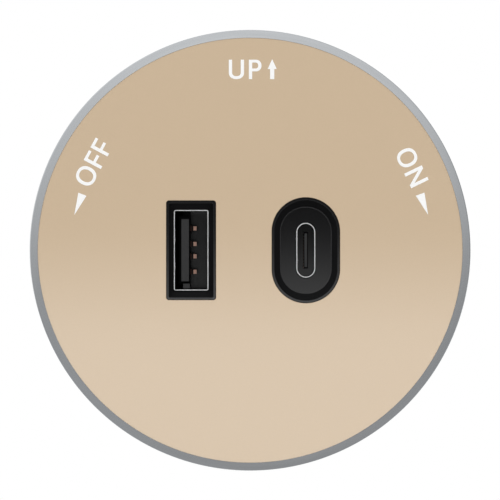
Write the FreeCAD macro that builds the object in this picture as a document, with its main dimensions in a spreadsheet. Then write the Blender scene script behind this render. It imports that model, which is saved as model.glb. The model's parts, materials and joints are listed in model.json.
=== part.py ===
import FreeCAD, Part
import math
import os
import re

import Sketcher

Vector = FreeCAD.Vector

# A USB charging socket for a power track. A round housing with a USB-A and a USB-C port turns
# on a twist-lock plug, whose head reaches through the slot of the track. X points right and
# Z up as the face is read, and Y points into the track. The origin is on the axis of the disc,
# in the plane where the housing seats on the track.

# Driving sizes in millimetres and degrees
SIZES = {
    # Disc
    "disc_radius": 35.5,
    "body_depth": 27.0,
    "seam_gap": 0.05,
    # Bezel ring
    "ring_wall": 1.24,
    "ring_fall": 0.35,
    "ring_edge": 0.15,
    "rib_reach": 1.2,
    "rib_height": 1.6,
    # Face plate
    "plate_gap": 0.06,
    "plate_sink": 0.05,
    "plate_wall": 1.2,
    # Front shell
    "shell_wall": 1.6,
    "shell_face": 2.0,
    "shell_bevel": 1.0,
    "boss_inset": 3.6,
    "boss_radius": 2.7,
    "boss_seat_radius": 4.0,
    "boss_angle": 45.0,
    "boss_count": 4,
    "post_inset": 4.3,
    "post_radius": 2.6,
    "post_count": 2,
    "hole_spare": 0.5,
    "peg_radius": 0.4,
    "peg_height": 0.35,
    # Port surrounds
    "frame_gap": 0.05,
    "frame_flange": 1.2,
    "flange_reach": 1.2,
    "flange_corner": 0.8,
    "frame_a_x": -9.5,
    "frame_a_width": 8.06,
    "frame_a_height": 16.1,
    "frame_a_corner": 0.45,
    "frame_a_rim": 0.45,
    "frame_a_depth": 1.0,
    "ramp_start": 0.4,
    "frame_c_x": 8.97,
    "frame_c_width": 11.1,
    "frame_c_height": 17.1,
    "frame_c_rim": 0.47,
    "frame_c_depth": 1.2,
    "floor_c_inset": 0.95,
    "frame_rim_bevel": 0.15,
    # USB-A receptacle
    "usb_a_width": 5.7,
    "usb_a_height": 13.1,
    "usb_a_wall": 0.3,
    "usb_a_corner": 0.5,
    "usb_a_proud": 0.15,
    "base_a_height": 3.0,
    "base_gap": 0.03,
    "base_corner": 0.15,
    "tongue_a_left": -2.04,
    "tongue_a_right": -0.2,
    "tongue_a_height": 11.1,
    "tongue_a_back": 0.9,
    "tongue_a_bevel": 0.32,
    "contact_a_wide": 0.77,
    "contact_a_thick": 0.25,
    "contact_a_rise": 1.1,
    "contact_a_tip": 0.5,
    "contact_a_crest": 1.9,
    "contact_a_crown": 0.3,
    "contact_a_heel": 5.2,
    "contact_a_inner": 1.0,
    "contact_a_outer": 3.5,
    "window_wide": 2.0,
    "window_long": 1.8,
    "window_back": 5.2,
    # USB-C receptacle
    "usb_c_width": 3.16,
    "usb_c_height": 8.94,
    "usb_c_wall": 0.25,
    "usb_c_length": 8.8,
    "base_c_height": 4.2,
    "tongue_c_wide": 0.7,
    "tongue_c_height": 5.9,
    "tongue_c_back": 0.9,
    "tongue_c_bevel": 0.1,
    "contact_c_wide": 0.25,
    "contact_c_thick": 0.08,
    "contact_c_tip": 0.4,
    "contact_c_pitch": 0.5,
    "contact_c_count": 12,
    "leg_wide": 1.2,
    # Circuit board and its parts
    "board_space": 11.75,
    "board_wall": 1.6,
    "board_gap": 0.8,
    "board_hole_gap": 0.25,
    "pin_half": 0.3,
    "pin_proud": 0.8,
    "pin_gap": 0.1,
    "fit_gap": 0.05,
    # Transformer
    "transformer_z": 17.0,
    "core_wide": 16.0,
    "core_deep": 6.0,
    "core_high": 9.2,
    "core_plate": 2.0,
    "core_leg": 2.0,
    "core_middle": 4.0,
    "bobbin_wall": 0.7,
    "bobbin_deep": 13.0,
    "bobbin_foot": 1.6,
    "bobbin_gap": 0.1,
    "bobbin_hole_corner": 0.2,
    "bobbin_shaft_corner": 0.6,
    "bobbin_cheek_corner": 1.0,
    "winding_inset": 0.3,
    "winding_corner": 2.0,
    "transformer_pin_x": 4.0,
    "transformer_pin_z": 5.0,
    # Capacitors
    "bulk_radius": 4.0,
    "bulk_high": 10.9,
    "bulk_x": -9.5,
    "bulk_z": -14.7,
    "bulk_gap": 0.7,
    "bulk_pin": 1.75,
    "output_radius": 3.15,
    "output_high": 9.0,
    "output_post_gap": 2.35,
    "output_z": 1.8,
    "output_gap": 1.3,
    "output_pin": 1.25,
    "crimp_depth": 0.3,
    "crimp_level": 1.6,
    "crimp_half": 0.4,
    "x_cap_post_gap": 2.65,
    "x_cap_z": -4.6,
    "x_cap_wide": 5.5,
    "x_cap_long": 12.0,
    "x_cap_high": 9.5,
    "x_cap_pin": 5.0,
    "box_bevel": 0.5,
    "y_cap_x": 10.5,
    "y_cap_z": -14.5,
    "y_cap_radius": 3.5,
    "y_cap_thick": 3.2,
    "y_cap_lift": 0.3,
    "y_cap_pin": 2.5,
    # Fuse
    "fuse_x": 9.5,
    "fuse_z": -22.5,
    "fuse_radius": 4.2,
    "fuse_high": 7.5,
    "fuse_pin": 2.5,
    # Common mode choke
    "choke_shift": 0.8,
    "choke_gap": 3.6,
    "choke_inner": 2.1,
    "choke_outer": 3.9,
    "choke_high": 4.0,
    "choke_wire": 0.5,
    "choke_angle": 130.0,
    "choke_pin_angle": 45.0,
    # Output inductor
    "inductor_z": -9.6,
    "inductor_radius": 4.0,
    "inductor_neck": 2.0,
    "inductor_high": 8.0,
    "inductor_flange": 1.2,
    "inductor_pin": 2.0,
    # Chips on the back of the board
    "chip_foot": 0.25,
    "chip_foot_wide": 0.4,
    "chip_foot_reach": 0.9,
    "chip_pitch": 1.27,
    "chip_bevel": 0.2,
    "bridge_x": -15.6,
    "bridge_z": -12.0,
    "bridge_wide": 6.4,
    "bridge_long": 5.0,
    "bridge_high": 2.4,
    "bridge_feet": 2,
    "small_chip_wide": 3.9,
    "small_chip_long": 5.0,
    "small_chip_high": 1.6,
    "small_chip_feet": 4,
    "rectifier_x": 11.5,
    "rectifier_z": 15.0,
    "protocol_x": 14.8,
    "protocol_z": -7.5,
    "protocol_wide": 4.4,
    "protocol_long": 6.5,
    "protocol_high": 1.1,
    "protocol_feet": 5,
    # Screws
    "cover_screw_shank": 1.1,
    "cover_screw_long": 9.0,
    "cover_screw_head": 2.1,
    "cover_screw_head_high": 1.25,
    "cover_screw_sink": 1.4,
    "board_screw_shank": 0.9,
    "board_screw_long": 7.0,
    "board_screw_head": 1.9,
    "board_screw_head_high": 1.3,
    "stem_screw_shank": 0.75,
    "stem_screw_long": 8.2,
    "stem_screw_head": 1.35,
    "stem_screw_head_high": 1.2,
    "stem_screw_offset": 3.9,
    "cap_screw_shank": 0.8,
    "cap_screw_long": 5.0,
    "cap_screw_head": 1.45,
    "cap_screw_offset": 4.0,
    "recess_arm": 0.3,
    "recess_reach": 1.2,
    "recess_deep": 0.7,
    "screw_gap": 0.02,
    "head_gap": 0.1,
    # Rear cover
    "cover_inset": 0.2,
    "cover_wall": 2.4,
    "cover_edge": 0.6,
    "hub_gap": 1.7,
    "hub_wall": 3.1,
    "hub_step": 2.1,
    "socket_wall_radius": 8.5,
    "socket_floor": 1.6,
    "socket_depth": 1.2,
    # Guide shoe
    "shoe_rim_gap": 0.3,
    "recess_depth": 2.5,
    "shoe_play": 0.1,
    "shoe_wall": 2.2,
    "key_length": 34.0,
    "key_width": 12.2,
    "key_height": 3.1,
    "key_edge": 0.3,
    "neck_play": 0.08,
    "turn_angle": 90.0,
    "stop_circle": 15.0,
    "stop_wide": 1.6,
    "stop_high": 0.9,
    "stop_angle": 10.0,
    "stop_place": -90.0,
    "stop_gap_angle": 1.0,
    "stop_gap": 0.2,
    "notch_deep": 0.6,
    "notch_half": 1.2,
    "cut_over": 1.0,
    # Detent spring
    "spring_leaf": 0.3,
    "spring_half": 6.5,
    "spring_flat": 2.0,
    "spring_tip": 0.3,
    "spring_nose": 1.0,
    "spring_rise": 0.9,
    "spring_high": 1.8,
    "nose_gap": 0.15,
    # Plug head
    "neck_radius": 5.3,
    "neck_flat": 4.7,
    "socket_play": 0.05,
    "wire_bore": 2.5,
    "head_lift": 0.3,
    "head_radius": 13.5,
    "head_half": 5.9,
    "head_height": 8.5,
    "head_round": 0.6,
    "cap_wall": 1.6,
    "cap_edge": 0.5,
    # Live and neutral contacts
    "pocket_in": 5.35,
    "pocket_out": 10.6,
    "pocket_half": 2.9,
    "pocket_floor": 2.7,
    "window_half": 1.9,
    "window_gap": 0.1,
    "flange_wall": 1.0,
    "flange_half": 2.7,
    "nose_sink": 0.1,
    "nose_round": 0.8,
    "press_travel": 1.0,
    "terminal_wall": 0.4,
    "terminal_half": 2.4,
    "tail_half": 0.7,
    "tail_drop": 1.85,
    "channel_half": 0.8,
    "channel_high": 1.4,
    "channel_out": 6.2,
    "channel_roof": 0.5,
    # Earth contact
    "earth_bore": 2.3,
    "earth_ledge": 0.6,
    "earth_ledge_gap": 0.1,
    "earth_floor": 3.0,
    "earth_flange": 2.2,
    "earth_flange_wall": 0.95,
    "earth_nose": 1.5,
    "earth_round": 0.9,
    "earth_proud": 1.2,
    "earth_play": 0.1,
    "earth_terminal_wall": 0.3,
    # Contact springs
    "leaf_wall": 0.25,
    "leaf_wide": 1.6,
    "side_leaf_half": 2.2,
    "earth_leaf_half": 1.9,
    "leaf_legs": 3,
    # Leads
    "lead_radius": 0.6,
    "lead_offset": 1.3,
    "lead_bend": 1.2,
}

# Places worked out from the sizes
PLACES = {
    "front": "-body_depth",
    "ring_inner": "disc_radius - ring_wall",
    "ring_rear": "-cover_wall - seam_gap",
    "rib_front": "ring_rear - rib_height",
    "rib_inner": "ring_inner - rib_reach",
    "plate_radius": "ring_inner - plate_gap",
    "cover_radius": "disc_radius - cover_inset",
    "plate_front": "front + plate_sink",
    "plate_back": "plate_front + plate_wall",
    "shell_rear": "rib_front - seam_gap",
    "shell_inner": "plate_radius - shell_wall",
    "wall_back": "plate_back + shell_face",
    "flange_back": "wall_back + frame_flange",
    "boss_root": "plate_back + shell_face / 2",
    "board_front": "wall_back + board_space",
    "board_back": "board_front + board_wall",
    "board_radius": "shell_inner - board_gap",
    "pin_end": "board_back + pin_proud",
    "cover_inner": "-cover_wall",
    "boss_rear": "cover_inner - seam_gap",
    "hub_inner": "-cover_wall - hub_step",
    "boss_circle": "shell_inner - boss_inset",
    "post_circle": "shell_inner - post_inset",
    "boss_x": "boss_circle * cos(boss_angle)",
    "boss_z": "boss_circle * sin(boss_angle)",
    "open_a_width": "frame_a_width - 2 * frame_a_rim",
    "open_a_height": "frame_a_height - 2 * frame_a_rim",
    "floor_a": "front + frame_a_depth",
    "shell_a_front": "floor_a - usb_a_proud",
    "inner_a_width": "usb_a_width - 2 * usb_a_wall - 2 * base_gap",
    "inner_a_height": "usb_a_height - 2 * usb_a_wall - 2 * base_gap",
    "base_a_front": "board_front - base_a_height",
    "tongue_a_front": "shell_a_front + tongue_a_back",
    "tongue_face": "frame_a_x + tongue_a_right",
    "open_c_width": "frame_c_width - 2 * frame_c_rim",
    "open_c_height": "frame_c_height - 2 * frame_c_rim",
    "floor_c": "front + frame_c_depth",
    "shell_c_front": "floor_c - seam_gap",
    "shell_c_rear": "shell_c_front + usb_c_length",
    "inner_c_width": "usb_c_width - 2 * usb_c_wall - 2 * base_gap",
    "inner_c_height": "usb_c_height - 2 * usb_c_wall - 2 * base_gap",
    "base_c_front": "shell_c_rear - base_c_height",
    "tongue_c_front": "shell_c_front + tongue_c_back",
    "bulk_pitch": "2 * bulk_radius + bulk_gap",
    "output_x": "post_circle - post_radius - output_post_gap - output_radius",
    "output_pitch": "2 * output_radius + output_gap",
    "inductor_x": "output_x",
    "x_cap_x": "-(post_circle - post_radius - x_cap_post_gap - x_cap_wide / 2)",
    "choke_x": "x_cap_x + choke_shift",
    "choke_z": "x_cap_z + x_cap_long / 2 + choke_gap + choke_outer + choke_wire",
    "recess_floor": "-recess_depth",
    "hub_radius": "boss_circle - boss_radius - hub_gap",
    "recess_radius": "hub_radius - hub_wall",
    "shoe_radius": "recess_radius - shoe_rim_gap",
    "shoe_front": "recess_floor + shoe_play",
    "shoe_rear": "shoe_front + shoe_wall",
    "key_rear": "shoe_rear + key_height",
    "head_front": "key_rear + head_lift",
    "cap_front": "head_front + head_height",
    "cap_rear": "cap_front + cap_wall",
    "neck_front": "recess_floor - socket_depth",
    "socket_front": "neck_front - socket_floor",
    "groove_floor": "recess_floor - stop_high - stop_gap + shoe_play",
    "nose_tip": "shoe_radius - notch_deep + nose_gap",
    "leaf_shoulder": "nose_tip + spring_nose",
    "leaf_end": "leaf_shoulder + spring_rise",
    "spring_front": "recess_floor + fit_gap",
    "spring_room": "spring_half + fit_gap",
    "spring_room_low": "sqrt(recess_radius ^ 2 - spring_room ^ 2) - fit_gap",
    "core_front": "core_rear - core_high",
    "core_rear": "board_front - bobbin_foot",
    "spool_front": "core_front + core_plate + fit_gap",
    "spool_rear": "core_rear - core_plate - fit_gap",
    "spool_wide": "core_wide - 2 * core_leg - 2 * bobbin_gap",
    "shaft_wide": "core_middle + 2 * bobbin_gap",
    "shaft_deep": "core_deep + 2 * bobbin_gap",
    "pocket_bottom": "head_front + pocket_floor",
    "channel_rear": "pocket_bottom - channel_roof",
    "lead_axis": "channel_rear - channel_high / 2",
    "plate_in": "pocket_in + seam_gap",
    "plate_out": "plate_in + terminal_wall",
    "flange_out": "pocket_out - seam_gap",
    "flange_in": "flange_out - flange_wall",
    "nose_low": "pocket_bottom + window_gap",
    "nose_high": "cap_front - window_gap",
    "nose_axis": "(nose_low + nose_high) / 2",
    "nose_out": "head_radius + press_travel - nose_sink",
    "earth_seat": "head_front + earth_floor",
    "earth_disc_rear": "earth_seat + earth_terminal_wall",
    "earth_flange_rear": "cap_front - seam_gap",
    "earth_flange_front": "earth_flange_rear - earth_flange_wall",
    "earth_tip": "cap_rear + earth_proud",
}

# How a sketch numbers its own origin, and the ends and centre of a line or arc
ORIGIN, _, START, END, CENTRE = range(-1, 4)
PLANES = {"x": ("YZ_Plane", 1), "y": ("XZ_Plane", -1), "z": ("XY_Plane", 1)}
NAME = re.compile(r"[a-z][a-z_0-9]+")
# Lengths that differ by less than this are taken as the same
CLOSE = 1e-4

doc = FreeCAD.newDocument("track_usb_socket")
sheet = doc.addObject("Spreadsheet::Sheet", "Sizes")
for row, (alias, size) in enumerate(SIZES.items(), start=1):
    sheet.set("A%d" % row, alias)
    sheet.set("B%d" % row, str(size))
    sheet.setAlias("B%d" % row, alias)
doc.recompute()

pieces = []


def formula(text):
    """Turns a formula of named sizes and places into one of the sheet's cells."""
    def swap(match):
        word = match.group(0)
        if word in SIZES:
            return "Sizes." + word
        if word in PLACES:
            return "(" + formula(PLACES[word]) + ")"
        return word
    return NAME.sub(swap, str(text))


def number(text):
    """Works out a formula of named sizes and places."""
    return float(sheet.evalExpression(formula(text)))


class Drawing:
    """A sketch whose points and radii are pinned to formulas."""

    def __init__(self, sketch):
        self.sketch = sketch

    def bind(self, kind, *places, size):
        index = self.sketch.addConstraint(Sketcher.Constraint(kind, *places, number(size)))
        self.sketch.setExpression("Constraints[%d]" % index, formula(size))

    def pin(self, shape, end, across, up):
        self.bind("DistanceX", ORIGIN, START, shape, end, size=across)
        self.bind("DistanceY", ORIGIN, START, shape, end, size=up)

    def line(self, start, end):
        first = Vector(number(start[0]), number(start[1]), 0)
        last = Vector(number(end[0]), number(end[1]), 0)
        return self.sketch.addGeometry(Part.LineSegment(first, last), False)

    def arc(self, centre, radius, start, end):
        middle = Vector(number(centre[0]), number(centre[1]), 0)
        circle = Part.Circle(middle, Vector(0, 0, 1), number(radius))
        turn = Part.ArcOfCircle(circle, math.radians(start), math.radians(end))
        shape = self.sketch.addGeometry(turn, False)
        self.pin(shape, CENTRE, *centre)
        self.bind("Radius", shape, size=radius)
        return shape

    def chain(self, shapes, kind="Tangent"):
        for first, second in zip(shapes, shapes[1:] + shapes[:1]):
            self.sketch.addConstraint(Sketcher.Constraint(kind, first, END, second, START))


def disc(across, up, radius):
    """A circle."""
    def draw(drawing):
        middle = Vector(number(across), number(up), 0)
        circle = Part.Circle(middle, Vector(0, 0, 1), number(radius))
        shape = drawing.sketch.addGeometry(circle, False)
        drawing.pin(shape, CENTRE, across, up)
        drawing.bind("Radius", shape, size=radius)
    return draw


def outline(*points):
    """A closed outline of straight lines."""
    def draw(drawing):
        shapes = []
        for start, end in zip(points, points[1:] + points[:1]):
            shapes.append(drawing.line(start, end))
        drawing.chain(shapes, "Coincident")
        for shape, start in zip(shapes, points):
            drawing.pin(shape, START, *start)
    return draw


def box(left, low, right, high):
    """A rectangle from its lower left to its upper right corner."""
    return outline((left, low), (right, low), (right, high), (left, high))


def rounded(across, up, width, height, corner):
    """A rectangle with round corners, about its middle."""
    left = "%s - (%s) / 2" % (across, width)
    right = "%s + (%s) / 2" % (across, width)
    low = "%s - (%s) / 2" % (up, height)
    high = "%s + (%s) / 2" % (up, height)
    in_left = "%s + (%s)" % (left, corner)
    in_right = "%s - (%s)" % (right, corner)
    in_low = "%s + (%s)" % (low, corner)
    in_high = "%s - (%s)" % (high, corner)

    def draw(drawing):
        bottom = drawing.line((in_left, low), (in_right, low))
        first = drawing.arc((in_right, in_low), corner, -90, 0)
        side = drawing.line((right, in_low), (right, in_high))
        second = drawing.arc((in_right, in_high), corner, 0, 90)
        top = drawing.line((in_right, high), (in_left, high))
        third = drawing.arc((in_left, in_high), corner, 90, 180)
        other = drawing.line((left, in_high), (left, in_low))
        fourth = drawing.arc((in_left, in_low), corner, 180, 270)
        drawing.chain([bottom, first, side, second, top, third, other, fourth])
    return draw


def stadium(across, up, width, height):
    """An upright slot shape with half-round ends."""
    radius = "(%s) / 2" % width
    low = "%s - (%s - (%s)) / 2" % (up, height, width)
    high = "%s + (%s - (%s)) / 2" % (up, height, width)
    left = "%s - %s" % (across, radius)
    right = "%s + %s" % (across, radius)

    def draw(drawing):
        side = drawing.line((right, low), (right, high))
        top = drawing.arc((across, high), radius, 0, 180)
        other = drawing.line((left, high), (left, low))
        bottom = drawing.arc((across, low), radius, 180, 360)
        drawing.chain([side, top, other, bottom])
    return draw


def flatted(radius, flat, upright=False):
    """A disc about the axis, cut by two flats: above and below, or upright ones at its sides."""
    reach = "sqrt((%s) ^ 2 - (%s) ^ 2)" % (radius, flat)

    def draw(drawing):
        angle = math.degrees(math.asin(number(flat) / number(radius)))
        if upright:
            first = drawing.line((flat, "-" + reach), (flat, reach))
            top = drawing.arc(("0", "0"), radius, 90 - angle, 90 + angle)
            second = drawing.line(("-(%s)" % flat, reach), ("-(%s)" % flat, "-" + reach))
            bottom = drawing.arc(("0", "0"), radius, 270 - angle, 270 + angle)
            kind = "DistanceX"
        else:
            first = drawing.line(("-" + reach, "-(%s)" % flat), (reach, "-(%s)" % flat))
            top = drawing.arc(("0", "0"), radius, -angle, angle)
            second = drawing.line((reach, flat), ("-" + reach, flat))
            bottom = drawing.arc(("0", "0"), radius, 180 - angle, 180 + angle)
            kind = "DistanceY"
        drawing.chain([first, top, second, bottom], "Coincident")
        sides = (first, flat), (second, "-(%s)" % flat)
        if not upright:
            sides = (first, "-(%s)" % flat), (second, flat)
        for shape, size in sides:
            drawing.bind(kind, ORIGIN, START, shape, START, size=size)
            drawing.bind(kind, ORIGIN, START, shape, END, size=size)
    return draw


class Piece:
    """One part of the socket, as a body with named features."""

    def __init__(self, label):
        self.label = label
        self.body = doc.addObject("PartDesign::Body", label)
        self.body.AllowCompound = True
        self.volume = 0.0
        self.origin = {}
        for part in self.body.Origin.OriginFeatures:
            self.origin[part.Role] = part
        pieces.append((label, self.body))

    def sketch(self, name, axis, level, shapes):
        """Draws shapes in the plane square to an axis at a level."""
        plane, sign = PLANES[axis]
        sketch = self.body.newObject("Sketcher::SketchObject", name + "_outline")
        sketch.AttachmentSupport = [(self.origin[plane], "")]
        sketch.MapMode = "FlatFace"
        sketch.setExpression("AttachmentOffset.Base.z", "%d * (%s)" % (sign, formula(level)))
        for shape in shapes:
            shape(Drawing(sketch))
        return sketch

    def finish(self, feature, cuts):
        """Recomputes a new feature and tests that it adds or takes away as it should."""
        self.body.Tip = feature
        doc.recompute()
        if "Up-to-date" not in feature.State or feature.Shape.isNull():
            raise RuntimeError("%s: %s failed" % (self.label, feature.Name))
        change = feature.Shape.Volume - self.volume
        if change * (-1 if cuts else 1) <= 0:
            raise RuntimeError("%s: %s changes nothing" % (self.label, feature.Name))
        self.volume = feature.Shape.Volume
        return feature

    def pad(self, name, axis, low, high, *shapes):
        """Adds a prism between two levels of an axis."""
        sign = PLANES[axis][1]
        sketch = self.sketch(name, axis, low if sign > 0 else high, shapes)
        feature = self.body.newObject("PartDesign::Pad", name)
        feature.Profile = sketch
        feature.setExpression("Length", "%s - (%s)" % (formula(high), formula(low)))
        return self.finish(feature, cuts=False)

    def cut(self, name, axis, low, high, *shapes, taper=None):
        """Cuts a prism away between two levels of an axis, or a hollow that narrows by an angle."""
        sign = PLANES[axis][1]
        sketch = self.sketch(name, axis, high if sign > 0 else low, shapes)
        feature = self.body.newObject("PartDesign::Pocket", name)
        feature.Profile = sketch
        feature.setExpression("Length", "%s - (%s)" % (formula(high), formula(low)))
        if taper:
            feature.setExpression("TaperAngle", formula(taper))
        return self.finish(feature, cuts=True)

    def profile(self, name, at, middle, shapes):
        """Draws radius and depth beside an axis that runs along Y through a point."""
        sketch = self.body.newObject("Sketcher::SketchObject", name + "_profile")
        sketch.AttachmentSupport = [(self.origin["XY_Plane"], "")]
        sketch.MapMode = "FlatFace"
        turn = FreeCAD.Rotation(Vector(0, 1, 0), 1)
        sketch.AttachmentOffset = FreeCAD.Placement(Vector(0, 0, 0), turn)
        sketch.setExpression("AttachmentOffset.Base.x", formula(at[0]))
        sketch.setExpression("AttachmentOffset.Base.z", formula(at[1]))
        sketch.setExpression("AttachmentOffset.Rotation.Angle", "-(%s)" % formula(middle))
        for shape in shapes:
            shape(Drawing(sketch))
        return sketch

    def turn(self, name, *shapes, at=("0", "0"), angle="360", middle="0"):
        """Turns a profile about an axis along Y, all round or over an angle about its middle."""
        sketch = self.profile(name, at, middle, shapes)
        feature = self.body.newObject("PartDesign::Revolution", name)
        feature.Profile = sketch
        feature.ReferenceAxis = (sketch, ["V_Axis"])
        feature.Midplane = True
        feature.setExpression("Angle", formula(angle))
        return self.finish(feature, cuts=False)

    def groove(self, name, *shapes, at=("0", "0"), angle="360", middle="0"):
        """Cuts a turned profile away."""
        sketch = self.profile(name, at, middle, shapes)
        feature = self.body.newObject("PartDesign::Groove", name)
        feature.Profile = sketch
        feature.ReferenceAxis = (sketch, ["V_Axis"])
        feature.Midplane = True
        feature.setExpression("Angle", formula(angle))
        return self.finish(feature, cuts=True)

    def repeat(self, name, features, count):
        """Repeats features all round the Y axis."""
        cuts = features[0].TypeId in ("PartDesign::Pocket", "PartDesign::Groove")
        feature = self.body.newObject("PartDesign::PolarPattern", name)
        feature.Originals = features
        feature.Axis = (self.origin["Y_Axis"], [""])
        feature.Angle = 360
        feature.setExpression("Occurrences", formula(count))
        return self.finish(feature, cuts)

    def row(self, name, features, axis, count, pitch):
        """Repeats features in a row along an axis."""
        feature = self.body.newObject("PartDesign::LinearPattern", name)
        feature.Originals = features
        feature.Direction = (self.origin[axis + "_Axis"], [""])
        feature.setExpression("Occurrences", formula(count))
        feature.setExpression("Length", "(%s) * (%s - 1)" % (formula(pitch), formula(count)))
        return self.finish(feature, cuts=False)

    def mirror(self, name, features, plane):
        """Repeats features on the other side of an origin plane."""
        cuts = features[0].TypeId in ("PartDesign::Pocket", "PartDesign::Groove")
        feature = self.body.newObject("PartDesign::Mirrored", name)
        feature.Originals = features
        feature.MirrorPlane = (self.origin[plane], [""])
        return self.finish(feature, cuts)

    def dress(self, kind, name, size, chosen):
        """Rounds or bevels the edges that a test chooses."""
        base = self.body.Tip
        edges = []
        for index, edge in enumerate(base.Shape.Edges, start=1):
            if chosen(edge):
                edges.append("Edge%d" % index)
        if not edges:
            raise RuntimeError("%s: no edges for %s" % (self.label, name))
        feature = self.body.newObject("PartDesign::" + kind, name)
        feature.Base = (base, edges)
        feature.setExpression("Radius" if kind == "Fillet" else "Size", formula(size))
        self.body.Tip = feature
        doc.recompute()
        if "Up-to-date" not in feature.State:
            raise RuntimeError("%s: %s failed" % (self.label, name))
        self.volume = feature.Shape.Volume
        return feature


def near(first, second):
    return abs(first - second) < CLOSE


def at_depth(level):
    """Chooses edges that lie in the plane of a depth."""
    depth = number(level)

    def chosen(edge):
        bounds = edge.BoundBox
        return near(bounds.YMin, depth) and near(bounds.YMax, depth)
    return chosen


def circle_at(level, radius):
    """Chooses round edges of a radius in the plane of a depth."""
    flat = at_depth(level)
    size = number(radius)

    def chosen(edge):
        return flat(edge) and hasattr(edge.Curve, "Radius") and near(edge.Curve.Radius, size)
    return chosen


def along_depth(edge):
    """Chooses straight edges that run along Y."""
    bounds = edge.BoundBox
    return near(bounds.XLength, 0) and near(bounds.ZLength, 0) and bounds.YLength > 0


def shape_piece(label, shape):
    """Keeps a shape made directly as one part."""
    feature = doc.addObject("Part::Feature", label)
    feature.Shape = shape
    feature.Placement = FreeCAD.Placement()
    pieces.append((label, feature))


def screw(piece, at, seat, shank, length, head, head_high, toward):
    """A screw along Y with a flat head: its shank goes from the seat toward the front or rear."""
    sign = "-" if toward == "front" else "+"
    other = "+" if toward == "front" else "-"
    tip = "%s %s %s" % (seat, sign, length)
    top = "%s %s %s" % (seat, other, head_high)
    points = [("0", tip), (shank, tip), (shank, seat), (head, seat), (head, top), ("0", top)]
    return piece.turn("screw", outline(*points), at=at)


def face_plate():
    plate = Piece("face_plate")
    plate.pad("sheet", "y", "plate_front", "plate_back", disc("0", "0", "plate_radius"))
    port_openings(plate, "plate_front", "plate_back")


def port_openings(piece, near_side, far_side):
    """Cuts the two openings that the port surrounds fit."""
    piece.cut("usb_a_opening", "y", near_side, far_side,
              rounded("frame_a_x", "0", "frame_a_width + 2 * frame_gap",
                      "frame_a_height + 2 * frame_gap", "frame_a_corner"))
    piece.cut("usb_c_opening", "y", near_side, far_side,
              stadium("frame_c_x", "0", "frame_c_width + 2 * frame_gap",
                      "frame_c_height + 2 * frame_gap"))


def bezel_ring():
    ring = Piece("bezel_ring")
    ring.turn("tube", outline(
        ("ring_inner", "front"),
        ("disc_radius - ring_edge", "front + ring_fall"),
        ("disc_radius", "front + ring_fall + ring_edge"),
        ("disc_radius", "ring_rear - ring_edge"),
        ("disc_radius - ring_edge", "ring_rear"),
        ("rib_inner", "ring_rear"),
        ("rib_inner", "rib_front"),
        ("ring_inner", "rib_front")))


def front_shell():
    shell = Piece("front_shell")
    shell.turn("cup", outline(
        ("0", "plate_back"), ("plate_radius", "plate_back"), ("plate_radius", "shell_rear"),
        ("shell_inner", "shell_rear"), ("shell_inner", "wall_back"), ("0", "wall_back")))
    shell.dress("Chamfer", "inner_corner", "shell_bevel", circle_at("wall_back", "shell_inner"))
    seat = shell.pad("boss_seat", "y", "boss_root", "board_front",
                     disc("boss_x", "boss_z", "boss_seat_radius"))
    shell.repeat("boss_seats", [seat], "boss_count")
    boss = shell.pad("boss", "y", "board_front", "boss_rear", disc("boss_x", "boss_z", "boss_radius"))
    shell.repeat("bosses", [boss], "boss_count")
    hole = shell.cut("boss_hole", "y", "-cover_screw_sink - cover_screw_long - hole_spare",
                     "boss_rear", disc("boss_x", "boss_z", "cover_screw_shank + screw_gap"))
    shell.repeat("boss_holes", [hole], "boss_count")
    post = shell.pad("post", "y", "boss_root", "board_front", disc("post_circle", "0", "post_radius"))
    shell.repeat("posts", [post], "post_count")
    hole = shell.cut("post_hole", "y", "board_back - board_screw_long - hole_spare", "board_front",
                     disc("post_circle", "0", "board_screw_shank + screw_gap"))
    shell.repeat("post_holes", [hole], "post_count")
    port_openings(shell, "plate_back", "wall_back")
    for name, across, height in (("a", "frame_a_x", "frame_a_height"),
                                 ("c", "frame_c_x", "frame_c_height")):
        offset = "(%s + flange_reach) / 2" % height
        shell.pad("pegs_" + name, "y", "wall_back", "flange_back + peg_height",
                  disc(across, offset, "peg_radius"), disc(across, "-(%s)" % offset, "peg_radius"))


def port_surround(label, across, width, height, corner):
    """The outer form of a port surround: a rim in the opening and a flange behind the wall."""
    surround = Piece(label)
    if corner:
        form = rounded(across, "0", width, height, corner)
    else:
        form = stadium(across, "0", width, height)
    surround.pad("rim", "y", "front", "wall_back", form)
    wide = "%s + 2 * flange_reach" % width
    high = "%s + 2 * flange_reach" % height
    surround.pad("flange", "y", "wall_back", "flange_back",
                 rounded(across, "0", wide, high, "flange_corner"))
    offset = "(%s + flange_reach) / 2" % height
    surround.cut("peg_holes", "y", "wall_back", "flange_back",
                 disc(across, offset, "peg_radius + screw_gap"),
                 disc(across, "-(%s)" % offset, "peg_radius + screw_gap"))
    return surround


def usb_a_frame():
    frame = port_surround("usb_a_frame", "frame_a_x", "frame_a_width", "frame_a_height",
                          "frame_a_corner")
    frame.cut("side_lands", "y", "front", "floor_a",
              box("frame_a_x - open_a_width / 2", "-usb_a_height / 2",
                  "frame_a_x + open_a_width / 2", "usb_a_height / 2"))
    for name, sign in (("upper_ramp", ""), ("lower_ramp", "-")):
        frame.cut(name, "x", "frame_a_x - open_a_width / 2", "frame_a_x + open_a_width / 2",
                  outline(("front", sign + "usb_a_height / 2"),
                          ("front", sign + "open_a_height / 2"),
                          ("front + ramp_start", sign + "open_a_height / 2"),
                          ("floor_a", sign + "usb_a_height / 2")))
    frame.cut("receptacle_hole", "y", "floor_a", "flange_back",
              rounded("frame_a_x", "0", "usb_a_width + 2 * seam_gap",
                      "usb_a_height + 2 * seam_gap", "usb_a_corner"))


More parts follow.
